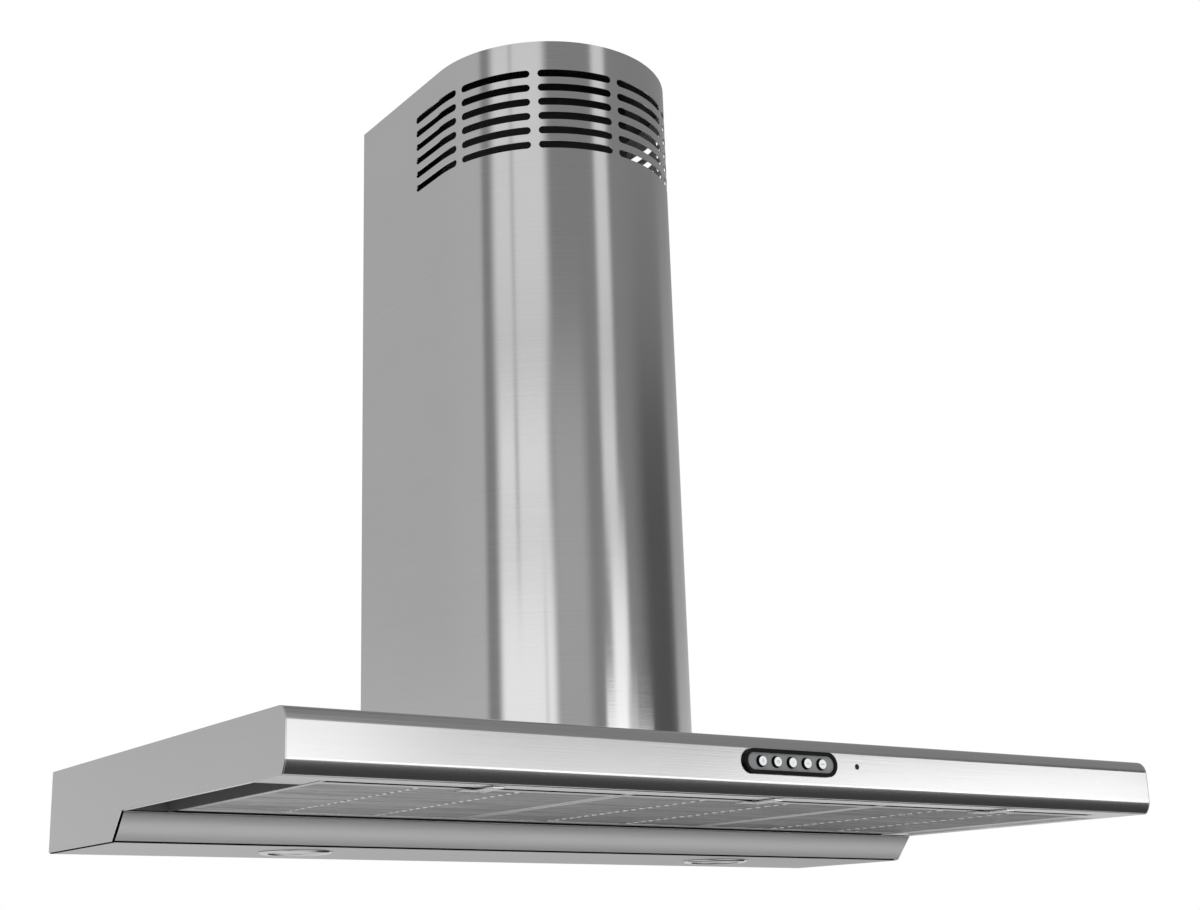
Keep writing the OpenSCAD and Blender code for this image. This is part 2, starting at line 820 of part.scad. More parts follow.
// Half of the round damper on the room side, with its knuckles at the places in list.
module damper_flap(list) {
    z0 = stop_z + clear;
    edge = knuckle_r + 0.5;
    translate([0, collar_y, 0]) difference() {
        union() {
            intersection() {
                translate([0, 0, z0]) cylinder(r = flap_r, h = flap_t);
                span([-flap_r, -flap_r - over, z0 - over], [flap_r, -edge, z0 + 2 * flap_t]);
            }
            for (x = list) {
                translate([x - knuckle_l / 2, 0, pin_z]) rotate([0, 90, 0])
                    cylinder(r = knuckle_r, h = knuckle_l, $fn = 32);
                span([x - knuckle_l / 2, -edge - over, z0], [x + knuckle_l / 2, 0, z0 + flap_t]);
            }
        }
        translate([-flap_r, 0, pin_z]) rotate([0, 90, 0])
            cylinder(r = pin_r + run, h = 2 * flap_r, $fn = 32);
    }
}

module front_damper_flap() {
    color("lightgrey") damper_flap(knuckle_places);
}

module rear_damper_flap() {
    color("lightgrey") translate([0, 2 * collar_y, 0]) mirror([0, 1, 0])
        damper_flap([for (x = knuckle_places) -x]);
}

module damper_pin() {
    color("silver") translate([-collar_r, collar_y, pin_z]) rotate([0, 90, 0])
        cylinder(r = pin_r, h = 2 * collar_r, $fn = 32);
}

module control_bezel() {
    color("black") along_y(front_y - bezel_proud, front_y) translate([control_x, control_z])
        difference() {
            stadium(bezel_l, bezel_h);
            stadium(bezel_l - 2 * bezel_ring, bezel_h - 2 * bezel_ring);
        }
}

module control_plate() {
    color("grey") along_y(front_y - plate_t, front_y) difference() {
        translate([control_x, control_z])
            stadium(bezel_l - 2 * bezel_ring, bezel_h - 2 * bezel_ring);
        for (i = [0:button_n - 1]) translate([button_x(i), control_z]) circle(button_hole_r);
    }
}

module push_button(i) {
    color("white") translate([button_x(i), front_y - button_proud, control_z])
        rotate([-90, 0, 0]) cylinder(r = button_r, h = button_l, $fn = 48);
}

module light_button() { push_button(0); }
module off_button() { push_button(1); }
module low_speed_button() { push_button(2); }
module mid_speed_button() { push_button(3); }
module high_speed_button() { push_button(4); }

module control_housing() {
    y0 = front_y + sheet_t;
    color("dimgrey") difference() {
        span([control_x - case_l / 2, y0, control_z - case_h / 2],
             [control_x + case_l / 2, y0 + case_d, control_z + case_h / 2]);
        span([control_x - case_l / 2 + case_t, y0 - over, control_z - case_h / 2 + case_t],
             [control_x + case_l / 2 - case_t, y0 + case_d - case_t,
              control_z + case_h / 2 - case_t]);
    }
}

module control_board() {
    color("darkgreen")
        span([control_x - case_l / 2 + case_t, board_y, control_z - case_h / 2 + case_t],
             [control_x + case_l / 2 - case_t, board_y + board_t, control_z + case_h / 2 - case_t]);
}

module button_switches() {
    color("black") for (i = [0:button_n - 1]) translate([button_x(i), 0, control_z]) {
        span([-switch_w / 2, board_y - switch_h, -switch_w / 2], [switch_w / 2, board_y, switch_w / 2]);
        translate([0, board_y - plunger_h, 0]) rotate([-90, 0, 0])
            cylinder(r = plunger_r, h = plunger_h - switch_h + over, $fn = 32);
    }
}

module status_lens() {
    color("black") translate([control_x + lens_x, front_y - 0.2, control_z])
        rotate([-90, 0, 0]) cylinder(r = lens_r, h = lens_l, $fn = 32);
}

// A lamp is drawn at the origin, with the underside of the lamp panel at height 0.
module at_lamp(side) {
    translate([side * lamp_x, -lamp_d, rear_z]) children();
}

module lamp_ring() {
    color("silver") difference() {
        union() {
            translate([0, 0, -ring_proud]) cylinder(r = lamp_ring_r, h = ring_proud);
            cylinder(r = lamp_hole_r, h = ring_tube);
        }
        translate([0, 0, -ring_proud - over])
            cylinder(r = lamp_hole_r - 4, h = ring_proud + ring_tube + 2 * over);
        cylinder(r = lamp_hole_r - 2, h = ring_tube + over);
    }
}

module lamp_glass() {
    color("lightcyan") cylinder(r = lamp_hole_r - 2, h = glass_t);
}

module lamp_cup() {
    z1 = ring_tube + lamp_cup_h;
    color("lightgrey") difference() {
        translate([0, 0, ring_tube]) cylinder(r = lamp_hole_r, h = lamp_cup_h);
        translate([0, 0, ring_tube - over])
            cylinder(r = lamp_hole_r - cup_t, h = lamp_cup_h - cup_t + over);
    }
    color("ivory") translate([0, 0, z1 - cup_t - socket_h]) cylinder(r = socket_r, h = socket_h);
}

module left_lamp_ring() { at_lamp(-1) lamp_ring(); }
module right_lamp_ring() { at_lamp(1) lamp_ring(); }
module left_lamp_glass() { at_lamp(-1) lamp_glass(); }
module right_lamp_glass() { at_lamp(1) lamp_glass(); }
module left_lamp_cup() { at_lamp(-1) lamp_cup(); }
module right_lamp_cup() { at_lamp(1) lamp_cup(); }

module lamp_bulbs() {
    z1 = ring_tube + lamp_cup_h - cup_t - socket_h;
    color("lightyellow") for (side = [-1, 1]) at_lamp(side) {
        translate([0, 0, z1 - bulb_l]) cylinder(r = bulb_r, h = bulb_l, $fn = 32);
        translate([0, 0, z1 - bulb_l]) sphere(r = bulb_r, $fn = 32);
    }
}

module filter_frame(i) {
    hw = filter_w / 2;
    b = filter_border;
    t = filter_sheet;
    slot = nose_w / 2 + clear;
    color("silver") translate([filter_x(i), 0, 0]) {
        difference() {
            span([-hw, filter_front, thin_z], [hw, filter_rear, frame_top]);
            span([-hw + b, filter_front + b, thin_z - over], [hw - b, filter_rear - b, frame_top + over]);
            span([-hw + t, filter_front + t, thin_z + t], [hw - t, filter_rear - t, frame_top - t]);
            span([-slot, filter_front - over, nose_z - nose_h / 2 - clear],
                 [slot, filter_front + 2 * t, nose_z + nose_h / 2 + clear]);
            span([-slot, filter_front + t + clear, thin_z - over],
                 [slot, filter_front + t + 2 * clear + riser_t + latch_travel + clear, thin_z + 2 * t]);
        }
        for (x = [-tab_x, tab_x])
            span([x - tab_w / 2, filter_rear - t, frame_top - t],
                 [x + tab_w / 2, filter_rear + tab_reach, frame_top]);
    }
}

module filter_mesh(i) {
    hw = filter_w / 2 - filter_sheet;
    color("darkgrey") translate([filter_x(i), 0, 0])
        span([-hw, filter_front + filter_border - 1, thin_z + filter_sheet],
             [hw, filter_rear - filter_sheet, frame_top - filter_sheet]);
}

module filter_latch(i) {
    riser = filter_front + filter_sheet + 2 * clear;
    nose_tip = filter_front - 0.4;
    color("silver") translate([filter_x(i), 0, 0]) {
        span([-latch_w / 2, latch_front, latch_z], [latch_w / 2, latch_front + latch_l, latch_z + latch_t]);
        span([-nose_w / 2, riser, latch_z], [nose_w / 2, riser + riser_t, nose_z + nose_h / 2]);
        span([-nose_w / 2, nose_tip, nose_z - nose_h / 2],
             [nose_w / 2, riser + riser_t, nose_z + nose_h / 2]);
        translate([-latch_w / 2, latch_front + latch_l - grip_r, latch_z + latch_t - grip_r])
            rotate([0, 90, 0]) cylinder(r = grip_r, h = latch_w, $fn = 32);
    }
}

module left_filter_frame() { filter_frame(0); }
module centre_filter_frame() { filter_frame(1); }
module right_filter_frame() { filter_frame(2); }
module left_filter_mesh() { filter_mesh(0); }
module centre_filter_mesh() { filter_mesh(1); }
module right_filter_mesh() { filter_mesh(2); }
module left_filter_latch() { filter_latch(0); }
module centre_filter_latch() { filter_latch(1); }
module right_filter_latch() { filter_latch(2); }

canopy_shell();
left_side_panel();
right_side_panel();
back_panel();
lamp_panel();
left_side_channel();
right_side_channel();
rear_filter_rail();
chimney_cover();
chimney_bracket();
air_deflector();
blower_housing();
blower_screws();
scroll_left_half();
scroll_right_half();
impeller();
motor_casing();
motor_stator();
motor_rotor();
motor_shaft();
motor_bushes();
motor_bracket();
motor_grommets();
motor_bolts();
run_capacitor();
terminal_box();
terminal_lid();
terminal_block();
cable_gland();
duct_collar();
front_damper_flap();
rear_damper_flap();
damper_pin();
control_bezel();
control_plate();
control_housing();
control_board();
button_switches();
light_button();
off_button();
low_speed_button();
mid_speed_button();
high_speed_button();
status_lens();
left_lamp_ring();
right_lamp_ring();
left_lamp_glass();
right_lamp_glass();
left_lamp_cup();
right_lamp_cup();
lamp_bulbs();
left_filter_frame();
centre_filter_frame();
right_filter_frame();
left_filter_mesh();
centre_filter_mesh();
right_filter_mesh();
left_filter_latch();
centre_filter_latch();
right_filter_latch();
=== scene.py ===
# %% [markdown]
# # Wall mounted range hood
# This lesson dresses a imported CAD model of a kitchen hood. The CAD nodes already have the right
# places and joints. Here the sheets that show get soft bends, real slots and brushed steel, and
# everything keeps its place, because each piece is made where the CAD says.

# %% The frame and the tools of the lesson
import math

import bmesh
import bpy
from mathutils import Matrix, Vector


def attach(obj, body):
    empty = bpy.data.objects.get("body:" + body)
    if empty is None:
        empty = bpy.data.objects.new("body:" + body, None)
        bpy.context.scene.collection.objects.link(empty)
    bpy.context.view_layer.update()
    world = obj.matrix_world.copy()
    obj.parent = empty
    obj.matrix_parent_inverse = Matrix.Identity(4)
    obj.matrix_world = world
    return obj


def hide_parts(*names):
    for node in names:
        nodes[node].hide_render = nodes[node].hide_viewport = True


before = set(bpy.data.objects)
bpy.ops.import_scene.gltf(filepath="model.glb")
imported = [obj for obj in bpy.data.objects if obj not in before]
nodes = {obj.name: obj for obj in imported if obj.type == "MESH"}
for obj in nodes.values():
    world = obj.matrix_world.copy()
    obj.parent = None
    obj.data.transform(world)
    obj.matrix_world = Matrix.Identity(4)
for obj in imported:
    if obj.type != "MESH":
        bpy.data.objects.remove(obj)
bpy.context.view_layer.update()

MM = 0.001

# %% [markdown]
# ## The camera
# The photo was taken from low on the left, looking up. Its place was solved from straight edges of
# the hood, so the camera only has to be set down there. A longer lens keeps the perspective mild,
# and a small sideways shift puts the picture's middle where the photographer cropped it.

# %% Set the camera down
CAMERA_PLACE = (-0.97491, -1.61735, -0.15003)
YAW, PITCH, ROLL = 0.5565, 0.2796, -0.0148

camera_data = bpy.data.cameras.new("photo_camera")
camera_data.sensor_width = 36.0
camera_data.lens = 53.018
camera_data.shift_x = 0.09165
camera_data.clip_end = 50
camera = bpy.data.objects.new("photo_camera", camera_data)
bpy.context.scene.collection.objects.link(camera)
camera.matrix_world = (
    Matrix.Translation(CAMERA_PLACE)
    @ Matrix.Rotation(-YAW, 4, "Z")
    @ Matrix.Rotation(math.pi / 2 + PITCH, 4, "X")
    @ Matrix.Rotation(ROLL, 4, "Z")
)
bpy.context.scene.camera = camera
bpy.context.scene.view_settings.view_transform = "Standard"
print("camera at", CAMERA_PLACE)

# %% [markdown]
# ## Sums of shader nodes
# Materials are easier to read as sums than as long lists of nodes. A Tone wraps one socket, and
# adding or multiplying Tones adds the Math nodes. A Recipe holds the node tree that they belong to,
# and its `add` method makes every other kind of node.

# %% A small language for materials
class Tone:
    """One output of a node, which can be used in sums."""

    def __init__(self, recipe, socket):
        self.recipe, self.socket = recipe, socket

    def sum(self, kind, *values):
        """A Math node of this kind over the values."""
        return self.recipe.add("ShaderNodeMath", {"operation": kind}, dict(enumerate(values)))

    def __add__(self, other):
        return self.sum("ADD", self, other)

    def __sub__(self, other):
        return self.sum("SUBTRACT", self, other)

    def __mul__(self, other):
        return self.sum("MULTIPLY", self, other)

    def __rsub__(self, other):
        return self.sum("SUBTRACT", other, self)

    __radd__ = __add__
    __rmul__ = __mul__

    def rise(self, start, end):
        """Nought before start, one after end, and a soft step between them."""
        return self.recipe.add("ShaderNodeMapRange", {"interpolation_type": "SMOOTHSTEP"},
                               {"Value": self, "From Min": start, "From Max": end})

    def band(self, start, end, soft):
        """One between start and end, with soft edges."""
        return self.rise(start - soft, start + soft) * (1 - self.rise(end - soft, end + soft))


class Recipe:
    """The node tree of one material or of the world."""

    def __init__(self, owner):
        owner.use_nodes = True
        self.tree = owner.node_tree
        self.tree.nodes.clear()

    def add(self, kind, settings=None, inputs=None, output=0):
        """Adds a node, sets it, links its inputs and gives one of its outputs."""
        node = self.tree.nodes.new(kind)
        for key, value in (settings or {}).items():
            setattr(node, key, value)
        for key, value in (inputs or {}).items():
            if isinstance(value, Tone):
                self.tree.links.new(value.socket, node.inputs[key])
            else:
                node.inputs[key].default_value = value
        return Tone(self, node.outputs[output]) if node.outputs else node

    def place(self, scale):
        """The piece's own coordinates, stretched by scale."""
        where = self.add("ShaderNodeTexCoord", output="Object")
        return self.add("ShaderNodeMapping", {}, {"Vector": where, "Scale": scale})

    def along(self, axis):
        """The piece's own coordinate along X, Y or Z."""
        where = self.add("ShaderNodeTexCoord", output="Object")
        return self.add("ShaderNodeSeparateXYZ", {}, {0: where}, "XYZ".index(axis))

    def noise(self, scale, detail=2.0, stretch=(1, 1, 1), rough=0.5):
        return self.add("ShaderNodeTexNoise", {"noise_dimensions": "3D"},
                        {"Vector": self.place(stretch), "Scale": scale, "Detail": detail,
                         "Roughness": rough})

    def blend(self, factor, one, two):
        """A colour between one and two."""
        return self.add("ShaderNodeMix", {"data_type": "RGBA"}, {0: factor, 6: one, 7: two}, 2)

    def bump(self, height, distance, strength=1.0):
        return self.add("ShaderNodeBump", {}, {"Height": height, "Distance": distance,
                                               "Strength": strength})

    def finish(self, inputs):
        """Ends a material with a principled surface that has these inputs."""
        surface = self.add("ShaderNodeBsdfPrincipled", {}, inputs)
        self.add("ShaderNodeOutputMaterial", {}, {"Surface": surface})


# %% [markdown]
# ## The studio
# Brushed steel is nearly a mirror, so most of its look is the room around it. The photo shows soft
# white panels to the left and just right of the middle, a low white panel in front of the fascia,
# and dark studio between them. The world paints these for reflections only. The camera sees plain
# white, and matt surfaces are lit by one even level. Directions are given as a bearing, nought
# straight out from the wall and positive to the right, and as a height over the horizon in degrees.

# %% Paint the room that the steel reflects
world = bpy.data.worlds.new("studio")
bpy.context.scene.world = world
room = Recipe(world)
world.cycles.sampling_method = "NONE"

direction = room.add("ShaderNodeTexCoord", output="Generated")
side, depth, up = [room.add("ShaderNodeSeparateXYZ", {}, {0: direction}, axis) for axis in range(3)]
DEGREES = 180 / math.pi
bearing = side.sum("ARCTAN2", side, depth * -1.0) * DEGREES
height = up.sum("ARCSINE", up) * DEGREES

PANELS = [
    # name, bearing from, to, softness, height from, to, softness, level
    ("low left wall", -181, -90, 4, -30, 8, 4, 0.66),
    ("low right wall", 90, 181, 4, -30, 8, 4, 0.62),
    ("dark studio", -95, 91, 3, -95, 95, 5, 0.30),
    ("left panel", -82, -33, 4, -8, 13, 3, 1.24),
    ("left panel, middle", -82, -36, 5, 13, 19, 3, 1.12),
    ("left panel, top", -84, -33, 5, 19, 60, 3, 0.90),
    ("faint panel", -33, -4, 6, -8, 19, 3, 0.52),
    ("panel joint", -66.5, -62.8, 1.0, 12, 60, 2, 0.66),
    ("low joint", -43.6, -41.2, 0.8, -8, 13, 2, 0.92),
    ("middle strip, low", 16, 31, 3, -8, 13, 3, 1.32),
    ("middle strip", 11.5, 25, 3, 13, 19, 3, 0.98),
    ("middle strip, top", 12.5, 26, 3, 19, 60, 3, 0.88),
    ("right fade", 48, 90, 12, -8, 20, 3, 0.12),
    ("right fade, top", 52, 90, 12, 20, 60, 3, 0.17),
    ("low panel", 39.5, 54.5, 1.5, -8, 6.4, 0.3, 1.85),
    ("low panel, dim", 27.8, 39.5, 1.0, -8, 6.9, 0.3, 1.08),
    ("low corner", 8, 27.8, 1.0, -8, 8.4, 0.6, 1.45),
    ("low corner, top", 28, 38, 1.0, 6.9, 8.4, 0.4, 0.7),
    ("low corner, foot", 8, 27.8, 1.0, -8, 6.6, 0.6, 1.7),
    ("low edge", 8, 54, 1.5, -12, 4.0, 0.8, 2.0),
    ("front floor", -92, 91, 3, -95, -11, 2, 0.22),
    ("ceiling", -181, 181, 1, 34, 95, 6, 0.42),
    ("ceiling, right", 38, 181, 6, 20, 95, 8, 0.30),
]
MIDDLE_LEVEL, LEFT_GAIN, EVEN_LEVEL = 0.52, 0.09, 0.85
level = MIDDLE_LEVEL - LEFT_GAIN * side
for name, b0, b1, b_soft, h0, h1, h_soft, tone in PANELS:
    level = level + (tone - level) * (bearing.band(b0, b1, b_soft) * height.band(h0, h1, h_soft))

seen, mirrored, through = [room.add("ShaderNodeLightPath", output=f"Is {kind} Ray")
                           for kind in ("Camera", "Glossy", "Transmission")]
strength = EVEN_LEVEL + (level - EVEN_LEVEL) * mirrored
strength = strength + (1.0 - strength) * seen.sum("MAXIMUM", seen, through * (1 - mirrored))
light = room.add("ShaderNodeBackground", {}, {"Color": (1, 1, 1, 1), "Strength": strength})
room.add("ShaderNodeOutputWorld", {}, {"Surface": light})
print("studio panels:", [panel[0] for panel in PANELS])

# %% [markdown]
# ## Brushed sheet steel
# Stainless sheet is ground with a belt, so it carries thousands of fine lines in one direction. They
# blur a reflection across the lines and leave it crisp along them. A noise stretched a thousand times
# along the grain makes the lines, as a faint bump and a small change of roughness. A second, broad
# noise stands for wiped fingermarks.

# %% Steel finishes
def grey(level, blue=0.0):
    return (level, level, level + blue, 1)


def new_finish(name):
    """An empty material and the recipe that fills it."""
    finish = bpy.data.materials.new(name)
    return finish, Recipe(finish)


STEEL_TONE, LINE_DEPTH, LINE_ROUGHNESS, MARK_ROUGHNESS = 0.62, 0.000012, 0.08, 0.05


def brushed(name, grain, roughness=0.15):
    """Metal with grain lines; grain gives how fast they change along X, Y and Z."""
    finish, mix = new_finish(name)
    fine = mix.noise(1.0, 3.0, grain, 0.6)
    wiped = mix.noise(6.0, 4.0, (1, 1, 1.4), 0.55)
    tint = mix.blend(fine * 0.6 + wiped * 0.4, grey(STEEL_TONE * 0.9, 0.002),
                     grey(STEEL_TONE * 1.08, 0.006))
    rough = roughness + (fine - 0.5) * LINE_ROUGHNESS + (wiped - 0.5) * MARK_ROUGHNESS
    mix.finish({"Base Color": tint, "Metallic": 1.0, "Roughness": rough,
                "Normal": mix.bump(fine, LINE_DEPTH)})
    return finish


steel_round = brushed("steel_grain_round", (6, 6, 1500), roughness=0.11)
steel_long = brushed("steel_grain_along_x", (6, 1500, 1500))
steel_side = brushed("steel_grain_along_y", (1500, 6, 1500), roughness=0.24)
steel_lamp = brushed("steel_lamp_panel", (6, 1300, 1300), roughness=0.3)
print("steel finishes:", steel_round.name, steel_long.name, steel_side.name)

# %% [markdown]
# ## Cast, zinc coated and moulded finishes
# Hidden sheet parts are zinc coated, which shows a pattern of large flat crystals. Mouldings have a
# fine spark-eroded grain, and castings and laminations are rougher. Each is a small recipe with its
# own scale, so that no piece is a single flat colour.

# %% Other finishes
def shade(colour, factor):
    """The colour made darker or paler by a factor."""
    return tuple(min(1.0, channel * factor) for channel in colour) + (1,)


def moulded(name, colour, roughness=0.45, spread=0.12, shine=0.5):
    """Plastic, rubber or lacquer: a fine grain over a broad change of shade."""
    finish, mix = new_finish(name)
    fine = mix.noise(900.0, 2.0)
    broad = mix.noise(25.0, 3.0)
    mix.finish({"Base Color": mix.blend(broad, shade(colour, 1 - spread), shade(colour, 1 + spread)),
                "Roughness": roughness + (fine - 0.5) * 0.1, "Specular IOR Level": shine,
                "Normal": mix.bump(fine, 0.00002)})
    return finish


def black_with_painted_light(name, dark, pale, start, end, both=False):
    """Black moulding with painted light: paler where x lies past start, on one side or on both."""
    finish, mix = new_finish(name)
    across = mix.along("X")
    across = across.sum("ABSOLUTE", across) if both else across
    fine = mix.noise(700.0, 2.0)
    mix.finish({"Base Color": mix.blend(across.rise(start, end), grey(dark), grey(pale)),
                "Roughness": 0.6 + (fine - 0.5) * 0.1, "Specular IOR Level": 0.15})
    return finish


def worn_metal(name, colour, roughness=0.3, scale=220.0, relief=0.00002):
    """Bare or plated metal, evenly worn."""
    finish, mix = new_finish(name)
    fine = mix.noise(scale, 4.0)
    mix.finish({"Base Color": mix.blend(fine, shade(colour, 0.93), shade(colour, 1.05)),
                "Metallic": 1.0, "Roughness": roughness + (fine - 0.5) * 0.16,
                "Normal": mix.bump(fine, relief)})
    return finish


ZINC_TONE, ZINC_ROUGHNESS = 0.52, 0.42
zinc_sheet, mix = new_finish("zinc_coated_sheet")
flakes = mix.add("ShaderNodeTexVoronoi", {}, {"Vector": mix.place((1, 1, 1)), "Scale": 90.0}, "Color")
flake = mix.add("ShaderNodeSeparateColor", {}, {0: flakes})
mix.finish({"Base Color": mix.blend(flake, grey(ZINC_TONE * 0.82, 0.004), grey(ZINC_TONE * 1.12, 0.008)),
            "Metallic": 0.9, "Roughness": ZINC_ROUGHNESS + (flake - 0.5) * 0.14})

chrome = worn_metal("polished_chrome", (0.78, 0.78, 0.79), 0.08, 60.0, 0.000002)
screw_steel = worn_metal("screw_steel", (0.66, 0.66, 0.67), 0.24)
satin_aluminium = worn_metal("satin_aluminium", (0.78, 0.79, 0.8), 0.3, 160.0, 0.000005)
cast_aluminium = worn_metal("cast_aluminium", (0.5, 0.51, 0.52), 0.5, 500.0, 0.00006)
laminations = worn_metal("varnished_laminations", (0.34, 0.28, 0.24), 0.45, 700.0)
bronze = worn_metal("oiled_bronze", (0.62, 0.44, 0.22), 0.35, 400.0)
blower_black = moulded("blower_plastic", (0.09, 0.09, 0.095))
gloss_black = moulded("gloss_black_plastic", (0.004, 0.004, 0.0045), 0.3, shine=0.1)
# Painted shade and light: the recess beside the left filters is painted dark for its shade, and the one
# beside the right filters pale for light.
channel_painted_shade = moulded("channel_with_painted_shade", (0.1, 0.102, 0.1), 0.6, shine=0.25)
channel_painted_light = moulded("channel_with_painted_light", (0.8, 0.81, 0.8), 0.5)
# Painted shade and light: the air guide is near black for the shade inside the chimney seen through the
# slots, and paler on the right where light falls in.
guide_painted_shade_and_light = black_with_painted_light("air_guide_painted_shade_and_light", 0.012, 0.07, 0.07, 0.1)
# Painted shade: the rear rail is near black for the shade in the gap behind the filters, and paler at both
# ends beside the recesses.
rail_painted_shade = black_with_painted_light("rail_with_painted_shade", 0.008, 0.1, 0.4055, 0.4085, both=True)
# A pale matt inner finish, like a protective film; on the right side sheet it is painted light that makes
# the recess beside the filters look lit.
inner_film_and_painted_light = moulded("dull_inner_film_and_painted_light", (0.72, 0.73, 0.72), 0.7, shine=0.2)
# Painted shade: a near black finish for grooves and cut ends, where shade falls.
edge_painted_shade = moulded("shadowed_edge", (0.012, 0.012, 0.012), 0.7, shine=0.05)
panel_grey = moulded("control_panel_grey", (0.23, 0.235, 0.24), 0.42, shine=0.3)
rubber = moulded("grommet_rubber", (0.03, 0.03, 0.03), 0.75)
box_white = moulded("terminal_box_white", (0.74, 0.74, 0.72), 0.5)
lacquer_green = moulded("board_lacquer", (0.03, 0.16, 0.07), 0.3)
print("finishes:", len(bpy.data.materials))

# %% [markdown]
# ## Working as by hand
# Every piece starts as a primitive set down at its size and place, in millimetres as in the workshop
# drawing, and its place is applied at once, so the finished object stays at the origin. Faces and
# edges are picked by where they are. The helpers below only save typing.

# %% Primitives at their size and place
def clear_choice():
    if bpy.context.mode != "OBJECT":
        bpy.ops.object.mode_set(mode="OBJECT")
    bpy.ops.object.select_all(action="DESELECT")


def take(*pieces):
    """Leaves only these pieces selected, the first one active."""
    clear_choice()
    for piece in pieces:
        piece.select_set(True)
    bpy.context.view_layer.objects.active = pieces[0]


def settle(name):
    """Names the new piece and applies its place, so that it stays at the origin."""
    piece = bpy.context.object
    piece.name = piece.data.name = name
    bpy.ops.object.transform_apply(location=True, rotation=True, scale=True)
    return piece


def block(name, low, high):
    """A box between two corners."""
    clear_choice()
    middle = [(a + b) / 2 * MM for a, b in zip(low, high)]
    size = [(b - a) * MM for a, b in zip(low, high)]
    bpy.ops.mesh.primitive_cube_add(size=1, location=middle, scale=size)
    return settle(name)


TURNS = {"X": (0, math.pi / 2, 0), "Y": (-math.pi / 2, 0, 0), "Z": (0, 0, 0)}


def rod(name, axis, start, length, radius, sides=64, ends="NGON"):
    """A round bar that runs from the point start along one axis."""
    clear_choice()
    way = Vector((axis == "X", axis == "Y", axis == "Z"))
    bpy.ops.mesh.primitive_cylinder_add(
        vertices=sides, radius=radius * MM, depth=length * MM, end_fill_type=ends,
        location=(Vector(start) + way * length / 2) * MM, rotation=TURNS[axis])
    return settle(name)


# %% Picking and shaping in edit mode
def middle_of(item):
    """The middle of an edge or face, in millimetres."""
    return sum((corner.co for corner in item.verts), Vector()) / len(item.verts) / MM


def near(a, b, slack=0.05):
    """True for two measures in millimetres that are the same but for the slack."""
    return abs(a - b) < slack


def choose(kind, test):
    """Selects the vertices, edges or faces that pass the test, in edit mode."""
    bpy.ops.mesh.select_mode(type=kind)
    bpy.ops.mesh.select_all(action="DESELECT")
    mesh = bpy.context.object.data
    shape = bmesh.from_edit_mesh(mesh)
    items = {"VERT": shape.verts, "EDGE": shape.edges, "FACE": shape.faces}[kind]
    for item in [item for item in items if test(item)]:
        item.select_set(True)
    bmesh.update_edit_mesh(mesh)


def open_up(piece):
    """Opens a piece in edit mode with everything selected."""
    take(piece)
    bpy.ops.object.mode_set(mode="EDIT")
    bpy.ops.mesh.select_all(action="SELECT")


def pull(x, y, z):
    """Extrudes what is selected by so many millimetres."""
    bpy.ops.mesh.extrude_region_move(TRANSFORM_OT_translate={"value": (x * MM, y * MM, z * MM)})


def shift(x, y, z):
    bpy.ops.transform.translate(value=(x * MM, y * MM, z * MM))


def slice_at(**planes):
    """Adds edges where the piece crosses planes such as y=-472."""
    for axis, places in planes.items():
        for place in places:
            where = Vector((axis == "x", axis == "y", axis == "z"))
            bpy.ops.mesh.select_all(action="SELECT")
            bpy.ops.mesh.bisect(plane_co=where * place * MM, plane_no=where)


def runs_along(axis):
    """A test for edges that run along one axis."""
    return lambda edge: abs((edge.verts[1].co - edge.verts[0].co).normalized()["XYZ".index(axis)]) > 0.999


# %% Modifiers, cuts and joins
def modify(piece, kind, **settings):
    """Adds one modifier and applies it."""
    take(piece)
    step = piece.modifiers.new(kind.lower(), kind)
    for key, value in settings.items():
        setattr(step, key, value)
    bpy.ops.object.modifier_apply(modifier=step.name)
    return piece


def join(piece, *others):
    """Joins the others into the piece."""
    take(piece, *others)
    if others:
        bpy.ops.object.join()
    return piece


def cut(piece, *cutters):
    """Takes the cutters' shapes out of the piece."""
    tool = join(*cutters)
    modify(piece, "BOOLEAN", object=tool, operation="DIFFERENCE", solver="EXACT")
    bpy.data.objects.remove(tool)
    return piece


def soften(piece, width, segments=2, angle=40):
    """Rounds every edge that is sharper than the angle."""
    return modify(piece, "BEVEL", width=width * MM, segments=segments, limit_method="ANGLE",
                  angle_limit=math.radians(angle), harden_normals=False, miter_outer="MITER_ARC")


def smooth(piece):
    """Shades the curves smooth and keeps the flats flat."""
    take(piece)
    bpy.ops.object.shade_smooth_by_angle(angle=math.radians(32))
    return modify(piece, "WEIGHTED_NORMAL", keep_sharp=True, weight=60)


def mirrored_copy(piece, name):
    """A copy on the other side of the hood, with its own mesh and its faces turned out again."""
    take(piece)
    bpy.ops.object.duplicate(linked=False)
    twin = bpy.context.object
    twin.name = twin.data.name = name
    twin.scale.x = -1
    bpy.ops.object.transform_apply(location=True, rotation=True, scale=True)
    open_up(twin)
    bpy.ops.mesh.flip_normals()
    clear_choice()
    return twin


def copy_to(piece, name, x):
    """A copy further along the hood, with its own mesh."""
    take(piece)
    bpy.ops.object.duplicate(linked=False)
    twin = bpy.context.object
    twin.name = twin.data.name = name
    twin.location.x = x * MM
    bpy.ops.object.transform_apply(location=True, rotation=True, scale=True)
    return twin


def fit(piece, finish, body, slot, *stands_for):
    """Gives the piece its finish, hangs it on its body and hides the CAD nodes it stands for."""
    if finish:
        piece.data.materials.clear()
        piece.data.materials.append(finish)
    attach(piece, body)
    if stands_for:
        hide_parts(*stands_for)
    print(piece.name, len(piece.data.polygons), "faces on", body)
    return piece


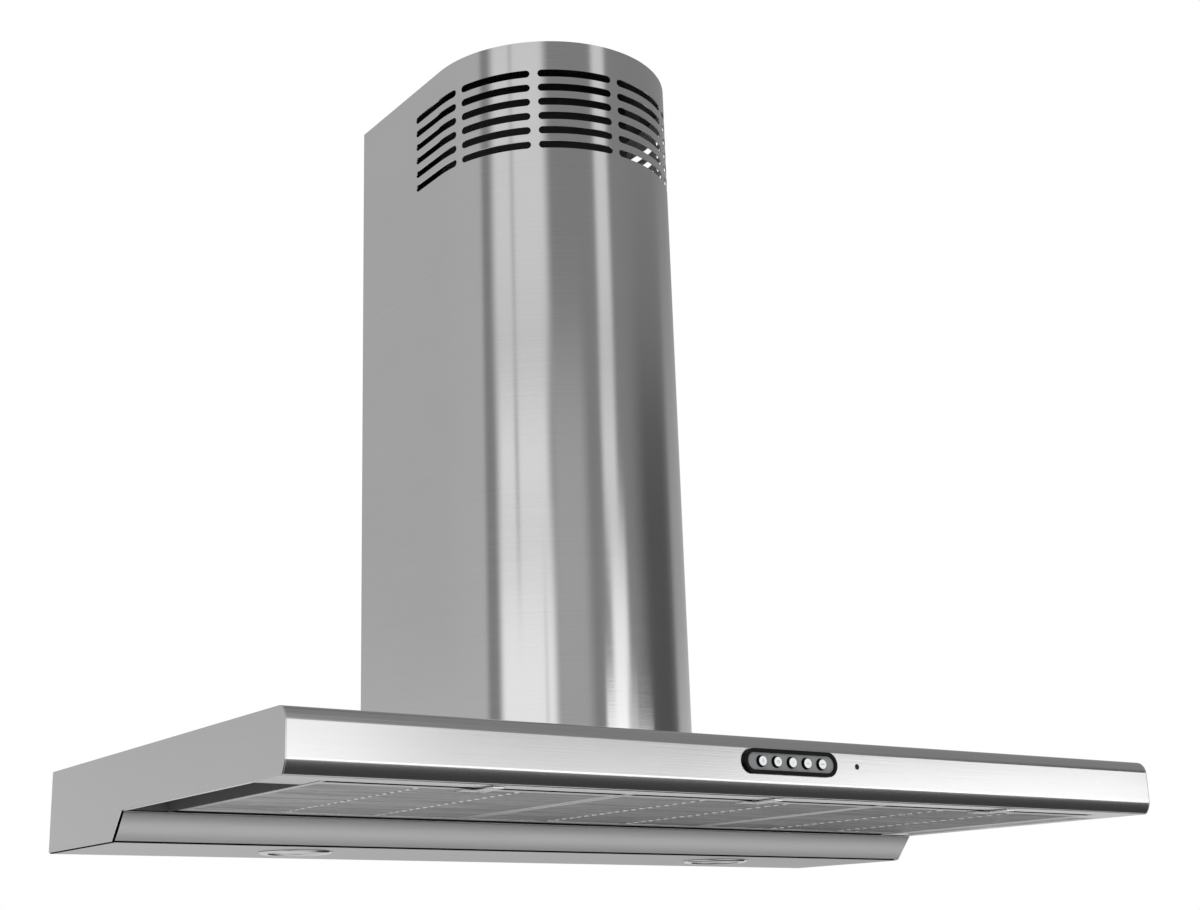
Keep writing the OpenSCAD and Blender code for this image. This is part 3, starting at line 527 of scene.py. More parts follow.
# %% Round and folded sections
def section(name, points):
    """A chain of edges drawn by extruding one point to the next, in millimetres."""
    clear_choice()
    bpy.ops.mesh.primitive_plane_add(size=0.01, location=Vector(points[0]) * MM)
    piece = settle(name)
    open_up(piece)
    bpy.ops.mesh.select_mode(type="VERT")
    bpy.ops.mesh.merge(type="CENTER")
    for here, there in zip(points, points[1:]):
        pull(*(b - a for a, b in zip(here, there)))
    bpy.ops.mesh.select_all(action="SELECT")
    return piece


def turned(name, profile, centre):
    """A body of revolution about a vertical axis; the profile lists radius and height."""
    x, y, z = centre
    loop = profile + [profile[0]]
    piece = section(name, [(x + r, y, z + h) for r, h in loop])
    bpy.ops.mesh.spin(steps=96, angle=2 * math.pi, center=Vector(centre) * MM, axis=(0, 0, 1))
    bpy.ops.mesh.select_all(action="SELECT")
    bpy.ops.mesh.remove_doubles(threshold=0.00001)
    bpy.ops.mesh.delete_loose()
    bpy.ops.mesh.normals_make_consistent(inside=False)
    clear_choice()
    return piece


def rounded_plate(name, centre, length, high, y_back, y_front, sides=12):
    """A plate with half-round ends that faces the room."""
    x, z = centre
    plate = block(name, (x - length / 2, y_front, z - high / 2), (x + length / 2, y_back, z + high / 2))
    open_up(plate)
    choose("EDGE", runs_along("Y"))
    bpy.ops.mesh.bevel(offset=high / 2 * MM * 0.999, segments=sides, affect="EDGES")
    clear_choice()
    return plate

# %% [markdown]
# ## The canopy shell
# The real canopy is one sheet of steel, folded from the top over a rounded front to a narrow rim
# underneath. A box gets its front edges bevelled: round at 11 mm above, and below a chamfer whose two
# edges are bevelled again, into a long curve and a tight one. Then the faces that the real sheet
# doesn't have are deleted. Solidify gives it the sheet's thickness, and cutters punch the holes, as
# the press does.

# %% Fold the canopy
HALF_W, IN_X, FRONT, TOP, THIN, REAR = 450.0, 448.8, -500.0, 25.0, -24.0, -49.0
SHEET = 1.0
TOP_ROUND, FOLD, LONG_CURVE, TIGHT_CURVE = 11.0, 5.6, 6.65, 1.2
RIM, CORNER, STRIP = -472.0, -441.0, 409.0


def round_front():
    """Bevels the front edges in edit mode: round above, chamfered and rounded twice below."""
    for y, z, offset, steps in ((FRONT, TOP, TOP_ROUND, 14), (FRONT, THIN, FOLD, 1),
                                (FRONT, THIN + FOLD, LONG_CURVE, 14),
                                (FRONT + FOLD, THIN, TIGHT_CURVE, 6)):
        choose("EDGE", lambda e: runs_along("X")(e) and near(middle_of(e).y, y)
               and near(middle_of(e).z, z))
        bpy.ops.mesh.bevel(offset=offset * MM, segments=steps, affect="EDGES")


canopy = block("canopy_sheet", (-IN_X, FRONT, THIN), (IN_X, 0, TOP))
open_up(canopy)
round_front()
choose("FACE", lambda f: abs(f.normal.x) > 0.9 or f.normal.y > 0.9)
bpy.ops.mesh.delete(type="FACE")
slice_at(y=(RIM, CORNER), x=(-STRIP, STRIP))
choose("FACE", lambda f: near(middle_of(f).z, THIN)
       and (middle_of(f).y > CORNER or (middle_of(f).y > RIM and abs(middle_of(f).x) < STRIP)))
bpy.ops.mesh.delete(type="FACE")
choose("EDGE", lambda e: near(middle_of(e).z, THIN) and near(middle_of(e).y, RIM)
       and abs(middle_of(e).x) < STRIP - 1)
pull(0, 0, 10)
modify(canopy, "SOLIDIFY", thickness=SHEET * MM, offset=-1, use_even_offset=True)
print("canopy", [round(v / MM, 1) for v in canopy.dimensions])

# %% Punch the canopy
CONTROL_X, CONTROL_Z, LENS_X = 6.0, 4.0, 80.0
FILTER_X = {"left": -271.5, "centre": 0.0, "right": 271.5}
holes = [block("intake", (-90, -215, 20), (90, -30, 30)),
         rounded_plate("button_slot", (CONTROL_X, CONTROL_Z), 80.6, 10.6, -496, -502),
         rod("lens_hole", "Y", (LENS_X, -502, CONTROL_Z), 6, 2.4, 32)]
for x in FILTER_X.values():
    holes.append(block("latch_window", (x - 7, -474, -21.5), (x + 7, -471, -17.5)))
for x in (-111, 111):
    for y in (-35, -175):
        holes.append(rod("screw_hole", "Z", (x, y, 22), 6, 1.75, 24))
cut(canopy, *holes)
smooth(canopy)
fit(canopy, steel_long, "hood", "stainless", "canopy_shell")

# %% [markdown]
# ## The side panels
# Each side panel is a laser cut plate with the canopy's own outline in front and a step down to the
# deeper lamp box behind. A thin block is rounded like the canopy, its rear underside is extruded down,
# and the step's front corner slides back to make the slanted notch. The panel ends a little short
# of the lamp box, which leaves a thin gap between them; the lamp panel's cut ends behind it carry
# painted shade, so the gap shows as a dark line. Inside, the sheet has a pale matt finish like a
# protective film, which on the right panel is painted light that makes the recess look lit.

# %% Cut and fold a side panel
LAMP_LOW, LAMP_HIGH, SHADOW = -163.0, -183.5, 0.9


def side_panel(name):
    """The left side panel, with the lip that its sheet folds in under the canopy."""
    panel = block(name, (-HALF_W, FRONT, THIN), (-IN_X, 0, TOP))
    open_up(panel)
    round_front()
    slice_at(y=(LAMP_HIGH + SHADOW,))
    choose("FACE", lambda f: f.normal.z < -0.9 and middle_of(f).y > LAMP_HIGH)
    pull(0, 0, REAR + SHADOW - THIN)
    choose("VERT", lambda v: near(v.co.z / MM, REAR + SHADOW) and near(v.co.y / MM, LAMP_HIGH + SHADOW))
    shift(0, LAMP_LOW - LAMP_HIGH, 0)
    clear_choice()
    lip = block("lip", (-IN_X - 0.4, CORNER, THIN), (-IN_X + 3, LAMP_HIGH - 0.3, THIN + SHEET))
    soften(panel, 0.25)
    join(panel, lip)
    return smooth(panel)


def second_finish(piece, finish, test):
    """Gives the faces that pass the test another finish."""
    piece.data.materials.append(finish)
    for face in piece.data.polygons:
        if test(face.center / MM, face.normal):
            face.material_index = len(piece.data.materials) - 1


left_panel = side_panel("left_side_sheet")
left_panel.data.materials.append(steel_side)
# Painted light: the inner faces take the pale matt finish, which on the right panel stands for light in
# the recess.
second_finish(left_panel, inner_film_and_painted_light, lambda at, out: at.x > -IN_X - 0.45)
right_panel = mirrored_copy(left_panel, "right_side_sheet")
fit(left_panel, None, "hood", "stainless", "left_side_panel")
fit(right_panel, None, "hood", "stainless", "right_side_panel")

# %% [markdown]
# ## The lamp panel
# The cover of the lamp box is flat below, then goes up the slanted face and back in a flange, with a
# dark groove where the two sheets meet. The slanted face has a slight belly, which gives it its soft
# highlight. The section is drawn as a chain of edges and pulled along the hood, and the groove and
# the cut ends are painted black as painted shade, for the shade that falls in them.

# %% Fold the lamp panel
BELLY, COVER_X, LAMP_X, LAMP_Y = 0.9, 447.4, 247.5, -96.0
slope = Vector((0, LAMP_HIGH - LAMP_LOW, THIN - REAR))
outward = Vector((0, -slope.z, slope.y)).normalized()
face = []
for step in range(13):
    t = 0.07 + 0.93 * step / 12
    face.append(Vector((-COVER_X, LAMP_LOW, REAR)) + slope * t + outward * BELLY * 4 * t * (1 - t))
GROOVE_Y, GROOVE_LOW, GROOVE_HIGH = -158.5, REAR + 0.2, REAR + 1.7
lamp_cover = section("lamp_cover", [
    (-COVER_X, -1.2, REAR), (-COVER_X, LAMP_LOW - 0.4, REAR), (-COVER_X, LAMP_LOW - 0.6, GROOVE_LOW),
    (-COVER_X, GROOVE_Y, GROOVE_LOW), (-COVER_X, GROOVE_Y, GROOVE_HIGH), *[tuple(p) for p in face],
    (-COVER_X, LAMP_HIGH + 14, THIN)])
choose("VERT", lambda v: near(v.co.y / MM, LAMP_HIGH))
bpy.ops.mesh.bevel(offset=1.2 * MM, segments=4, affect="VERTICES")
bpy.ops.mesh.select_all(action="SELECT")
pull(2 * COVER_X, 0, 0)
bpy.ops.mesh.select_all(action="SELECT")
bpy.ops.mesh.normals_make_consistent(inside=False)
lowest = [f for f in bmesh.from_edit_mesh(lamp_cover.data).faces if near(middle_of(f).z, REAR)]
if lowest[0].normal.z > 0:
    bpy.ops.mesh.flip_normals()
modify(lamp_cover, "SOLIDIFY", thickness=0.2 * MM, offset=-1)
cut(lamp_cover, *[rod("lamp_hole", "Z", (x, LAMP_Y, REAR - 3), 6, 31, 128)
                  for x in (-LAMP_X, LAMP_X)])
smooth(lamp_cover)


def in_groove_or_end(at, out):
    deep = GROOVE_LOW - 0.05 < at.z < GROOVE_HIGH + 0.1
    return abs(out.x) > 0.9 or (deep and LAMP_LOW - 0.6 < at.y < GROOVE_Y + 0.1)


lamp_cover.data.materials.append(steel_lamp)
# Painted shade: the groove and the cut ends are painted black for the shade that falls in them.
second_finish(lamp_cover, edge_painted_shade, in_groove_or_end)
fit(lamp_cover, None, "hood", "stainless", "lamp_panel")

# %% [markdown]
# ## The chimney cover
# The chimney is a sheet bent round a half circle, with rows of slots punched near the top. An open
# cylinder loses its rear half, its two edges are extruded back to the wall, and slot cutters go
# through square to the sheet. Cutting leaves long thin faces that would shade in streaks, so every
# corner gets the direction of the true half circle. The inside keeps its dull protective film.

# %% Roll the chimney and punch its slots
CHIMNEY_R, CHIMNEY_SIDE, CHIMNEY_TOP = 130.0, 170.0, 751.0


def chimney_sheet(name):
    """The bent sheet without its slots."""
    sheet = rod(name, "Z", (0, -CHIMNEY_SIDE, TOP), CHIMNEY_TOP - TOP, CHIMNEY_R, 192, "NOTHING")
    open_up(sheet)
    choose("VERT", lambda v: v.co.y / MM > -CHIMNEY_SIDE + 0.1)
    bpy.ops.mesh.delete(type="VERT")
    choose("EDGE", lambda e: runs_along("Z")(e) and near(middle_of(e).y, -CHIMNEY_SIDE))
    pull(0, CHIMNEY_SIDE, 0)
    bpy.ops.mesh.select_all(action="SELECT")
    bpy.ops.mesh.normals_make_consistent(inside=False)
    modify(sheet, "SOLIDIFY", thickness=SHEET * MM, offset=-1)
    take(sheet)
    bpy.ops.object.shade_smooth_by_angle(angle=math.radians(30))
    return sheet


SLOT_L, SLOT_H, SLOT_GAP, SLOT_ROWS, ROW_STEP, TOP_ROW = 78.0, 8.0, 8.0, 6, 15.75, 36.0
QUARTER = math.pi / 2 * CHIMNEY_R


def slot_cutter(column, z):
    """A cutter for one slot, on the right-hand side, square to the middle of the slot."""
    start = SLOT_GAP / 2 + column * (SLOT_L + SLOT_GAP)
    mid = start + SLOT_L / 2
    if mid < QUARTER:
        turn, long, shift_x = mid / CHIMNEY_R, 2 * CHIMNEY_R * math.sin(SLOT_L / 2 / CHIMNEY_R), 0.0
    else:
        first = -CHIMNEY_R * math.cos(start / CHIMNEY_R) if start < QUARTER else start - QUARTER
        last = start + SLOT_L - QUARTER
        turn, long, shift_x = math.pi / 2, last - first, (first + last) / 2
    cutter = rounded_plate("slot", (shift_x, 0), long, SLOT_H, -CHIMNEY_R + 15, -CHIMNEY_R - 3, 10)
    cutter.rotation_euler.z = turn
    cutter.location = Vector((0, -CHIMNEY_SIDE, z)) * MM
    take(cutter)
    bpy.ops.object.transform_apply(location=True, rotation=True, scale=True)
    return cutter


chimney = chimney_sheet("chimney_sheet")
cutters = []
for row in range(SLOT_ROWS):
    for column in range(3):
        cutter = slot_cutter(column, CHIMNEY_TOP - TOP_ROW - row * ROW_STEP)
        cutters += [cutter, mirrored_copy(cutter, "slot_twin")]
cut(chimney, *cutters)


def round_normals(sheet):
    """Gives every corner of the bent sheet the direction of the true half circle."""
    take(sheet)
    bpy.ops.object.shade_smooth()
    directions = []
    for face in sheet.data.polygons:
        for loop in face.loop_indices:
            place = sheet.data.vertices[sheet.data.loops[loop].vertex_index].co / MM
            out = Vector((place.x, min(place.y + CHIMNEY_SIDE, 0.0), 0.0)).normalized()
            along = out.dot(face.normal)
            directions.append(out * math.copysign(1, along) if abs(along) > 0.9 else face.normal)
    sheet.data.normals_split_custom_set(directions)


round_normals(chimney)
chimney.data.materials.append(steel_round)
second_finish(chimney, inner_film_and_painted_light,
              lambda at, out: out.x * at.x + out.y * min(at.y + CHIMNEY_SIDE, 0) < -50)
fit(chimney, None, "hood", "stainless", "chimney_cover")

# %% [markdown]
# ## The control panel
# A black ring frames a grey plate with five push buttons, and a small lens sits beside it.
# Plates with half-round ends are boxes whose upright edges are bevelled by half their height. Each
# button is a black plunger with a white rounded cap, marked with a small sign for its job.

# %% Bezel and plate
PLATE_L, PLATE_H = 92.6, 14.1
bezel = rounded_plate("bezel_ring", (CONTROL_X, CONTROL_Z), 99, 20.5, FRONT, FRONT - 3, 16)
cut(bezel, rounded_plate("bezel_hole", (CONTROL_X, CONTROL_Z), PLATE_L, PLATE_H,
                         FRONT + 2, FRONT - 6, 16))
soften(bezel, 1.0, 4, 50)
smooth(bezel)
fit(bezel, gloss_black, "hood", "black_plastic", "control_bezel")

BUTTON_X = {"light": -26, "off": -10, "low_speed": 6, "mid_speed": 22, "high_speed": 38}
plate = rounded_plate("button_plate", (CONTROL_X, CONTROL_Z), PLATE_L, PLATE_H,
                      FRONT, FRONT - 1.5, 16)
cut(plate, *[rod("button_hole", "Y", (x, FRONT - 4, CONTROL_Z), 8, 4.9, 48)
             for x in BUTTON_X.values()])
soften(plate, 0.2, 2, 50)
smooth(plate)
fit(plate, panel_grey, "hood", "panel_grey", "control_plate")

# %% Push buttons with their signs
cap_white = moulded("button_cap_white", (0.86, 0.86, 0.86), 0.35, spread=0.04)
sign_ink = moulded("sign_ink", (0.2, 0.2, 0.21), 0.5)


def dot(x, z, radius):
    return rod("dot", "Y", (x, FRONT - 4.4, z), 0.1, radius, 16)


def hoop(x, z, radius, width):
    ring = rod("hoop", "Y", (x, FRONT - 4.45, z), 0.15, radius, 32)
    return cut(ring, rod("hole", "Y", (x, FRONT - 5, z), 1.5, radius - width, 32))


def sign(kind, x):
    """A small generic sign: a lamp, off, or one to three dots for the speeds."""
    z = CONTROL_Z
    if kind == "light":
        rays = [block("ray", (x - 0.14, FRONT - 4.45, z + s), (x + 0.14, FRONT - 4.3, z + s + 0.6))
                for s in (1.3, -1.9)]
        return join(hoop(x, z, 0.95, 0.3), *rays)
    if kind == "off":
        return hoop(x, z, 1.3, 0.35)
    count = {"low_speed": 1, "mid_speed": 2, "high_speed": 3}[kind]
    return join(*[dot(x + (i - (count - 1) / 2) * 1.25, z, 0.42) for i in range(count)])


for kind, x in BUTTON_X.items():
    body = rod("body", "Y", (x, FRONT - 3.9, CONTROL_Z), 11.4, 4.0, 48)
    soften(body, 0.15, 2)
    cap = rod("cap", "Y", (x, FRONT - 4.4, CONTROL_Z), 0.7, 3.85, 48)
    soften(cap, 0.3, 4)
    mark = sign(kind, x)
    for part, finish in ((body, gloss_black), (cap, cap_white), (mark, sign_ink)):
        part.data.materials.clear()
        part.data.materials.append(finish)
    button = join(body, cap, mark)
    button.name = button.data.name = f"{kind}_push_button"
    smooth(button)
    fit(button, None, f"{kind}_button", "button_plastic", f"{kind}_button")

lens = rod("lens", "Y", (LENS_X, FRONT - 0.2, CONTROL_Z), 6, 2.05, 32)
soften(lens, 0.4, 3)
smooth(lens)
lens_red = moulded("lens_dark_red", (0.012, 0.003, 0.003), 0.25, shine=0.2)
fit(lens, lens_red, "hood", "lens_dark", "status_lens")

# %% [markdown]
# ## The lamps
# A polished ring on a rubber seal holds a frosted glass in the lamp hole. They are bodies of
# revolution, so their sections are drawn once and spun round. The glass is domed a little, as a
# pressed lens is.

# %% Spin the lamp rings and glasses
frosted, mix = new_finish("frosted_glass")
ripple = mix.noise(500.0, 2.0)
mix.finish({"Base Color": mix.blend(ripple, (0.72, 0.75, 0.76, 1), (0.88, 0.9, 0.9, 1)),
            "Roughness": 0.2 + ripple * 0.25, "Normal": mix.bump(ripple, 0.00008)})

RUBBER_R = 34.0
for side, x in (("left", -LAMP_X), ("right", LAMP_X)):
    centre = (x, LAMP_Y, REAR)
    ring = turned(f"{side}_chrome_ring", [
        (27, 0), (27, -0.6), (27.5, -1.3), (28.6, -1.9), (30.2, -2.2), (31.6, -2.1), (32.8, -1.7),
        (33.7, -1.1), (34.3, -0.4), (34.5, 0), (31, 0), (31, 14), (29, 14), (29, 0)], centre)
    smooth(ring)
    ring.data.materials.append(chrome)
    second_finish(ring, rubber, lambda at, out: -0.4 < at.z - REAR < 0.1
                  and math.hypot(at.x - x, at.y - LAMP_Y) > RUBBER_R)
    fit(ring, None, "hood", "bright_steel", f"{side}_lamp_ring")
    glass = turned(f"{side}_pressed_glass", [
        (0, 0.9), (9, 0.75), (18, 0.35), (26, 0.05), (29, 0), (29, 3), (0, 3)], centre)
    smooth(glass)
    fit(glass, frosted, "hood", "lamp_glass", f"{side}_lamp_glass")

# %% [markdown]
# ## The grease filters
# Each filter is a folded frame, open in the middle, round a pack of expanded aluminium mesh. Two rows
# of pressed louvres run from front to back. The frame starts as a box: its top and bottom are inset
# and opened, Solidify makes the sheet, and the folds are rounded. In front its border is wider and
# a groove along the rim's edge shows as a dark line, with painted shade on its back wall.
# One filter is made and copied.

# %% Fold a filter frame
FILTER_FRONT, FILTER_REAR, FILTER_TOP, FILTER_W = -471.2, -200.0, -15.0, 270.0
BORDER, SIDE_BORDER, GROOVE = 19.0, 13.0, 8.0


def filter_frame():
    """The folded frame with its rim groove, the slots for the latch and two rear tabs."""
    ring = block("filter_frame", (-FILTER_W / 2, FILTER_FRONT, THIN),
                 (FILTER_W / 2, FILTER_REAR, FILTER_TOP))
    open_up(ring)
    choose("FACE", lambda f: abs(f.normal.z) > 0.9)
    bpy.ops.mesh.inset(thickness=SIDE_BORDER * MM, depth=0.0, use_individual=True)
    bpy.ops.transform.resize(value=(129 / 122, 1, 1), center_override=(0, 0, 0))
    choose("VERT", lambda v: near(v.co.y / MM, FILTER_FRONT + SIDE_BORDER, 0.5))
    shift(0, BORDER - SIDE_BORDER, 0)
    choose("FACE", lambda f: abs(f.normal.z) > 0.9 and near(middle_of(f).x, 0, 1)
           and near(middle_of(f).y, (FILTER_FRONT + FILTER_REAR + BORDER - SIDE_BORDER) / 2, 1))
    bpy.ops.mesh.delete(type="FACE")
    choose("EDGE", lambda e: not runs_along("Z")(e) and abs(middle_of(e).x) < FILTER_W / 2 - 5
           and FILTER_FRONT + 12 < middle_of(e).y < FILTER_REAR - 12 and near(middle_of(e).z, THIN))
    pull(0, 0, 1.6)
    modify(ring, "SOLIDIFY", thickness=SHEET * MM, offset=-1, use_even_offset=True)
    cut(ring, block("nose_slot", (-5.3, FILTER_FRONT - 1, -20.8), (5.3, FILTER_FRONT + 2, -18.2)),
        block("riser_slot", (-5.3, FILTER_FRONT + 1.3, THIN - 1), (5.3, FILTER_FRONT + 11.2, THIN + 2)))
    cut(ring, block("rim_groove", (-132, FILTER_FRONT - 1, THIN - 1),
                    (132, FILTER_FRONT + GROOVE, THIN + 1.3)))
    print("filter frame", [round(v / MM, 1) for v in ring.dimensions], len(ring.data.polygons), "faces")
    soften(ring, 0.3, 3, 50)
    tabs = [block("tab", (x - 12, FILTER_REAR - 1, FILTER_TOP - 1), (x + 12, FILTER_REAR + 10, FILTER_TOP))
            for x in (-90, 90)]
    for tab in tabs:
        open_up(tab)
        choose("EDGE", lambda e: runs_along("Z")(e) and middle_of(e).y > FILTER_REAR)
        bpy.ops.mesh.bevel(offset=3 * MM, segments=4, affect="EDGES")
        soften(tab, 0.2)
    join(ring, *tabs)
    ring.data.materials.append(satin_aluminium)
    # Painted shade: the back wall of the rim groove is painted black for the shade in the groove.
    second_finish(ring, edge_painted_shade, lambda at, out: near(at.y, FILTER_FRONT + GROOVE, 0.7)
                  and at.z < THIN + 1.2 and abs(out.y) > 0.6 and abs(at.x) < 133)
    return smooth(ring)


frame_piece = filter_frame()

# %% Press the louvred mesh pack
LOUVRE_STEP, LOUVRE_L = 12.0, 5.6


def filter_pack():
    """The pack of mesh, and its louvres as a piece of their own."""
    low, high = THIN + 0.45, FILTER_TOP - 1.0
    pack = block("filter_pack", (-131, FILTER_FRONT + 15, low), (131, FILTER_REAR - 11, high))
    soften(pack, 0.3)
    louvres = []
    for x in (-45.0, 45.0):
        for step in range(20):
            y = FILTER_FRONT + 21 + step * LOUVRE_STEP
            louvres.append(block("louvre", (x - 1.3, y, low - 0.8), (x + 1.3, y + LOUVRE_L, low + 0.4)))
    rows = join(*louvres)
    open_up(rows)
    choose("EDGE", lambda e: runs_along("Y")(e) and middle_of(e).z < low - 0.5)
    bpy.ops.mesh.bevel(offset=0.8 * MM, segments=3, affect="EDGES")
    clear_choice()
    smooth(rows)
    return pack, rows


mesh_metal, mix = new_finish("expanded_mesh")
strands = mix.add("ShaderNodeTexWave", {"bands_direction": "Y", "wave_profile": "SIN"}, {
    "Vector": mix.place((1, 1, 1)), "Scale": 70.0, "Distortion": 1.2, "Detail": 1.0,
    "Detail Scale": 0.6}, "Fac")
cells = mix.add("ShaderNodeTexVoronoi", {}, {"Vector": mix.place((0.35, 1, 1)), "Scale": 260.0},
                "Distance")
streaks = mix.noise(1.0, 3.0, (7, 110, 110), 0.6)
weave = strands * 0.6 + cells * 0.6 + (streaks - 0.5) * 2.4
mix.finish({"Base Color": mix.blend(weave, grey(0.27), grey(0.74)), "Metallic": 1.0,
            "Roughness": 0.42 + (cells - 0.5) * 0.2, "Normal": mix.bump(weave, 0.0005, 0.6)})
louvre_metal = worn_metal("pressed_louvres", (0.78, 0.78, 0.78), 0.26, 200.0)

pack_piece, louvre_rows = filter_pack()
pack_piece.data.materials.append(mesh_metal)
louvre_rows.data.materials.append(louvre_metal)
join(pack_piece, louvre_rows)

# %% Shape the pull latch
def slot_below(name, centre, length, wide, low, high):
    """A cutter for a slot in a level sheet, with half-round ends."""
    x, y = centre
    cutter = block(name, (x - length / 2, y - wide / 2, low), (x + length / 2, y + wide / 2, high))
    open_up(cutter)
    choose("EDGE", runs_along("Z"))
    bpy.ops.mesh.bevel(offset=wide / 2 * MM * 0.99, segments=6, affect="EDGES")
    clear_choice()
    return cutter


def pull_latch():
    """A pressed strip and tongue, with a finger slot, a rolled grip and the locking nose."""
    low, high, back = -25.5, -24.3, -447.5
    strip = block("latch", (-12, -464, low), (12, back, high))
    tongue = block("tongue", (-3.5, -487.5, low + 0.05), (9.5, -463, high - 0.05))
    for part in (strip, tongue):
        open_up(part)
        choose("EDGE", lambda e: runs_along("Z")(e) and middle_of(e).y < -463.5)
        bpy.ops.mesh.bevel(offset=2 * MM, segments=4, affect="EDGES")
    cut(strip, slot_below("finger_slot", (5.5, -457), 8, 3, low - 1, high + 1))
    soften(strip, 0.15)
    soften(tongue, 0.15)
    grip = rod("grip", "X", (-12, back - 0.9, high - 0.9), 24, 0.9, 32)
    soften(grip, 0.2)
    riser = block("riser", (-3, -469.6, low + 0.2), (5, -466.6, -18.5))
    nose = block("nose", (-5, -471.6, -20.5), (5, -467, -18.5))
    open_up(nose)
    choose("EDGE", lambda e: runs_along("X")(e) and middle_of(e).y < -471 and middle_of(e).z > -19)
    bpy.ops.mesh.bevel(offset=1.2 * MM, segments=3, affect="EDGES")
    join(strip, tongue, grip, riser, nose)
    return smooth(strip)


latch_piece = pull_latch()
latch_steel = worn_metal("latch_steel", (0.8, 0.8, 0.81), 0.26, 300.0, 0.000004)

# %% Hang the three filters
for side, x in FILTER_X.items():
    ring = copy_to(frame_piece, f"{side}_folded_frame", x)
    fit(ring, None, f"{side}_filter", "filter_aluminium", f"{side}_filter_frame")
    pack = copy_to(pack_piece, f"{side}_mesh_pack", x)
    fit(pack, None, f"{side}_filter", "filter_aluminium", f"{side}_filter_mesh")
    latch = copy_to(latch_piece, f"{side}_pull_latch", x)
    fit(latch, latch_steel, f"{side}_latch", "bright_steel", f"{side}_filter_latch")
for spare in (frame_piece, pack_piece, latch_piece):
    bpy.data.objects.remove(spare)

# %% [markdown]
# ## The parts inside
# The blower, the motor, the electrical box and the folded strips behind the filters already have
# their true shapes in CAD, so they stay and only get their finishes.

# %% Finish the CAD parts that stay
INSIDE = {
    zinc_sheet: ["back_panel", "chimney_bracket", "blower_housing", "motor_bracket",
                 "left_lamp_cup", "right_lamp_cup", "front_damper_flap", "rear_damper_flap"],
    screw_steel: ["blower_screws", "motor_bolts", "motor_shaft", "damper_pin"],
    cast_aluminium: ["motor_casing"],
    laminations: ["motor_stator", "motor_rotor"],
    bronze: ["motor_bushes"],
    gloss_black: ["button_switches", "cable_gland", "duct_collar"],
    blower_black: ["scroll_left_half", "scroll_right_half", "impeller"],
    # Painted shade: the rail is near black for the shade in the gap behind the filters, and paler at both
    # ends.
    rail_painted_shade: ["rear_filter_rail"],
    panel_grey: ["control_housing"],
    rubber: ["motor_grommets"],
    box_white: ["run_capacitor", "terminal_box", "terminal_lid", "terminal_block"],
    lacquer_green: ["control_board"],
    frosted: ["lamp_bulbs"],
}
for finish, names in INSIDE.items():
    for name in names:
        nodes[name].data.materials.clear()
        nodes[name].data.materials.append(finish)
    print(finish.name, len(names), "CAD nodes")

# %% [markdown]
# ## CAD parts that gain a detail
# Three CAD parts keep their shape but need one detail more. A thin rubber seal closes the cord hole
# of the air guide, and an end plate closes the back of each recess beside the filters. A copy of the
# CAD mesh has its loose triangles merged, is joined with the detail and takes the part's place.

# %% Seal the air guide and close the side recesses
CORD = (32.0, -254.0)


def with_detail(name, source, finish, slot, *details):
    """A copy of a CAD part joined with the details, which takes its place."""
    piece = bpy.data.objects.new(name, nodes[source].data.copy())
    bpy.context.scene.collection.objects.link(piece)
    piece.data.transform(nodes[source].matrix_world)
    open_up(piece)
    bpy.ops.mesh.select_all(action="SELECT")
    bpy.ops.mesh.remove_doubles(threshold=0.001 * MM)
    clear_choice()
    join(piece, *details)
    return fit(piece, finish, "hood", slot, source)


# Painted shade and light: the air guide is near black for the shade seen through the chimney slots, and
# paler on the right where light falls in.
with_detail("air_guide", "air_deflector", guide_painted_shade_and_light, "black_plastic",
            rod("cord_seal", "Z", (*CORD, CHIMNEY_TOP - 7.5), 1.0, 8.3, 48))
RECESS_X = 408.2
RECESS_TOP = max(corner.co.z for corner in nodes["left_side_channel"].data.vertices) / MM
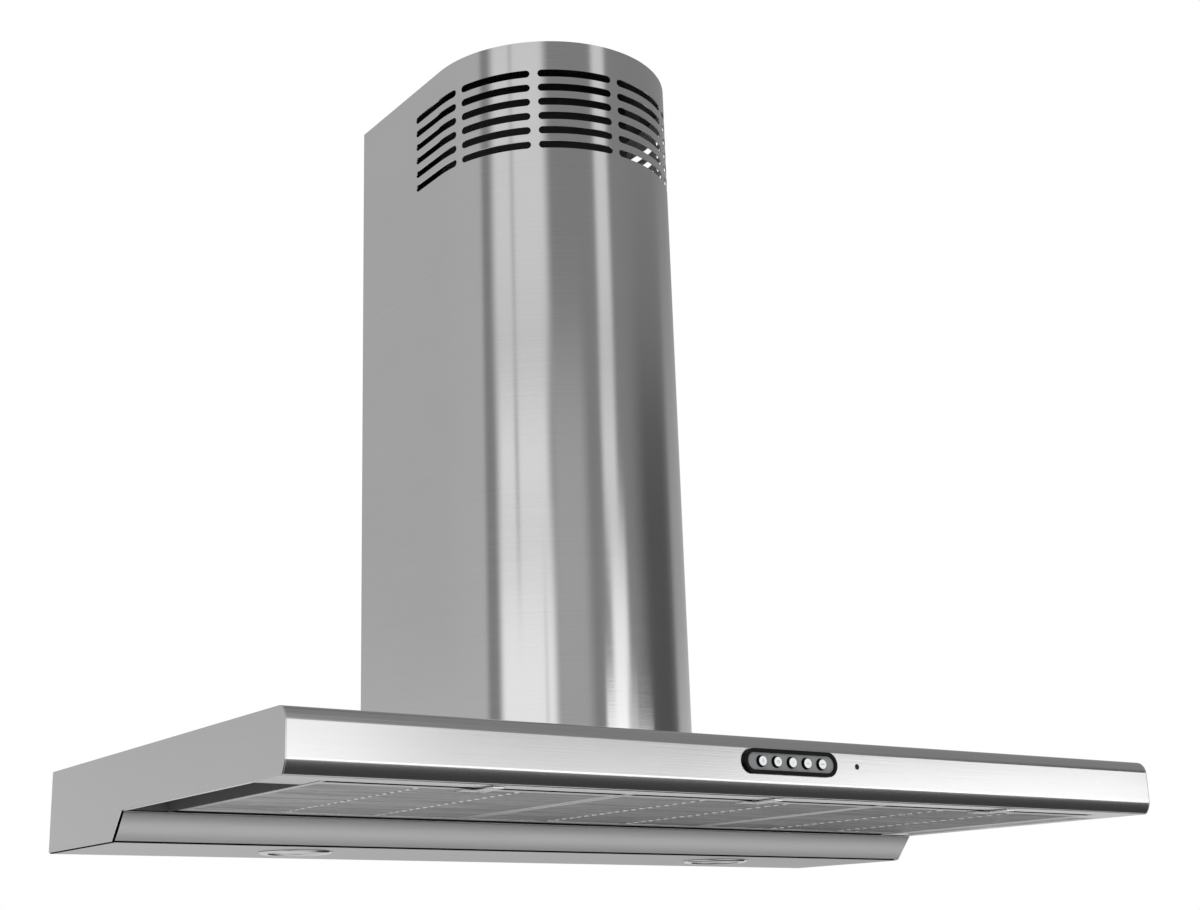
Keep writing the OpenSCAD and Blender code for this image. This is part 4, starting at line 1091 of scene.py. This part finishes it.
# Painted shade and light: the left recess is painted dark for its shade, and the right recess pale for
# light.
for side, x0, x1, finish in (("left", -IN_X, -RECESS_X, channel_painted_shade),
                             ("right", RECESS_X, IN_X, channel_painted_light)):
    end = block("recess_end", (x0, LAMP_HIGH - 1.3, THIN + 0.7),
                (x1, LAMP_HIGH - 0.3, RECESS_TOP - 0.1))
    with_detail(f"{side}_recess", f"{side}_side_channel", finish, "galvanised", end)

# %% [markdown]
# ## Floor and light
# A pale floor well below the hood catches its shadow in the views from above. In reflections it shows
# as the studio's dark floor with one lit strip under the hood, which gives the lamp panel its
# highlight. One broad soft lamp from the upper left models the matt parts.

# %% Set the floor and the lamp
clear_choice()
bpy.ops.mesh.primitive_plane_add(size=12, location=(0, -1.0, -0.9))
floor = settle("floor")
pale, mix = new_finish("pale_floor")
matt = mix.add("ShaderNodeBsdfPrincipled", {}, {
    "Base Color": mix.blend(mix.noise(3.0, 2.0), grey(0.9), grey(0.94)), "Roughness": 0.9})
across, out = mix.along("X"), mix.along("Y")
strip = 0.07 + 1.05 * out.band(-0.54, -0.31, 0.09) + 0.6 * out.rise(-0.2, -0.08)
strip = strip + 0.17 * (1 - out.rise(-4.2, -0.9))
strip = strip * (1 - 0.93 * across.band(0.3, 2.0, 0.2) * out.band(-0.06, 1.3, 0.08))
card = mix.add("ShaderNodeEmission", {}, {
    "Color": mix.add("ShaderNodeCombineColor", {}, {0: strip, 1: strip, 2: strip})})
mirrored = mix.add("ShaderNodeLightPath", output="Is Glossy Ray")
both = mix.add("ShaderNodeMixShader", {}, {0: mirrored, 1: matt, 2: card})
mix.add("ShaderNodeOutputMaterial", {}, {"Surface": both})
floor.data.materials.append(pale)

lamp_data = bpy.data.lights.new("soft_lamp", "AREA")
lamp_data.size = 1.6
lamp_data.energy = 18
lamp = bpy.data.objects.new("soft_lamp", lamp_data)
bpy.context.scene.collection.objects.link(lamp)
lamp.location = (-1.6, -1.8, 1.6)
lamp.rotation_euler = (Vector((0, -0.2, 0.2)) - lamp.location).to_track_quat("-Z", "Y").to_euler()
lamp.visible_glossy = False

# %% Clear the selection at the end
clear_choice()
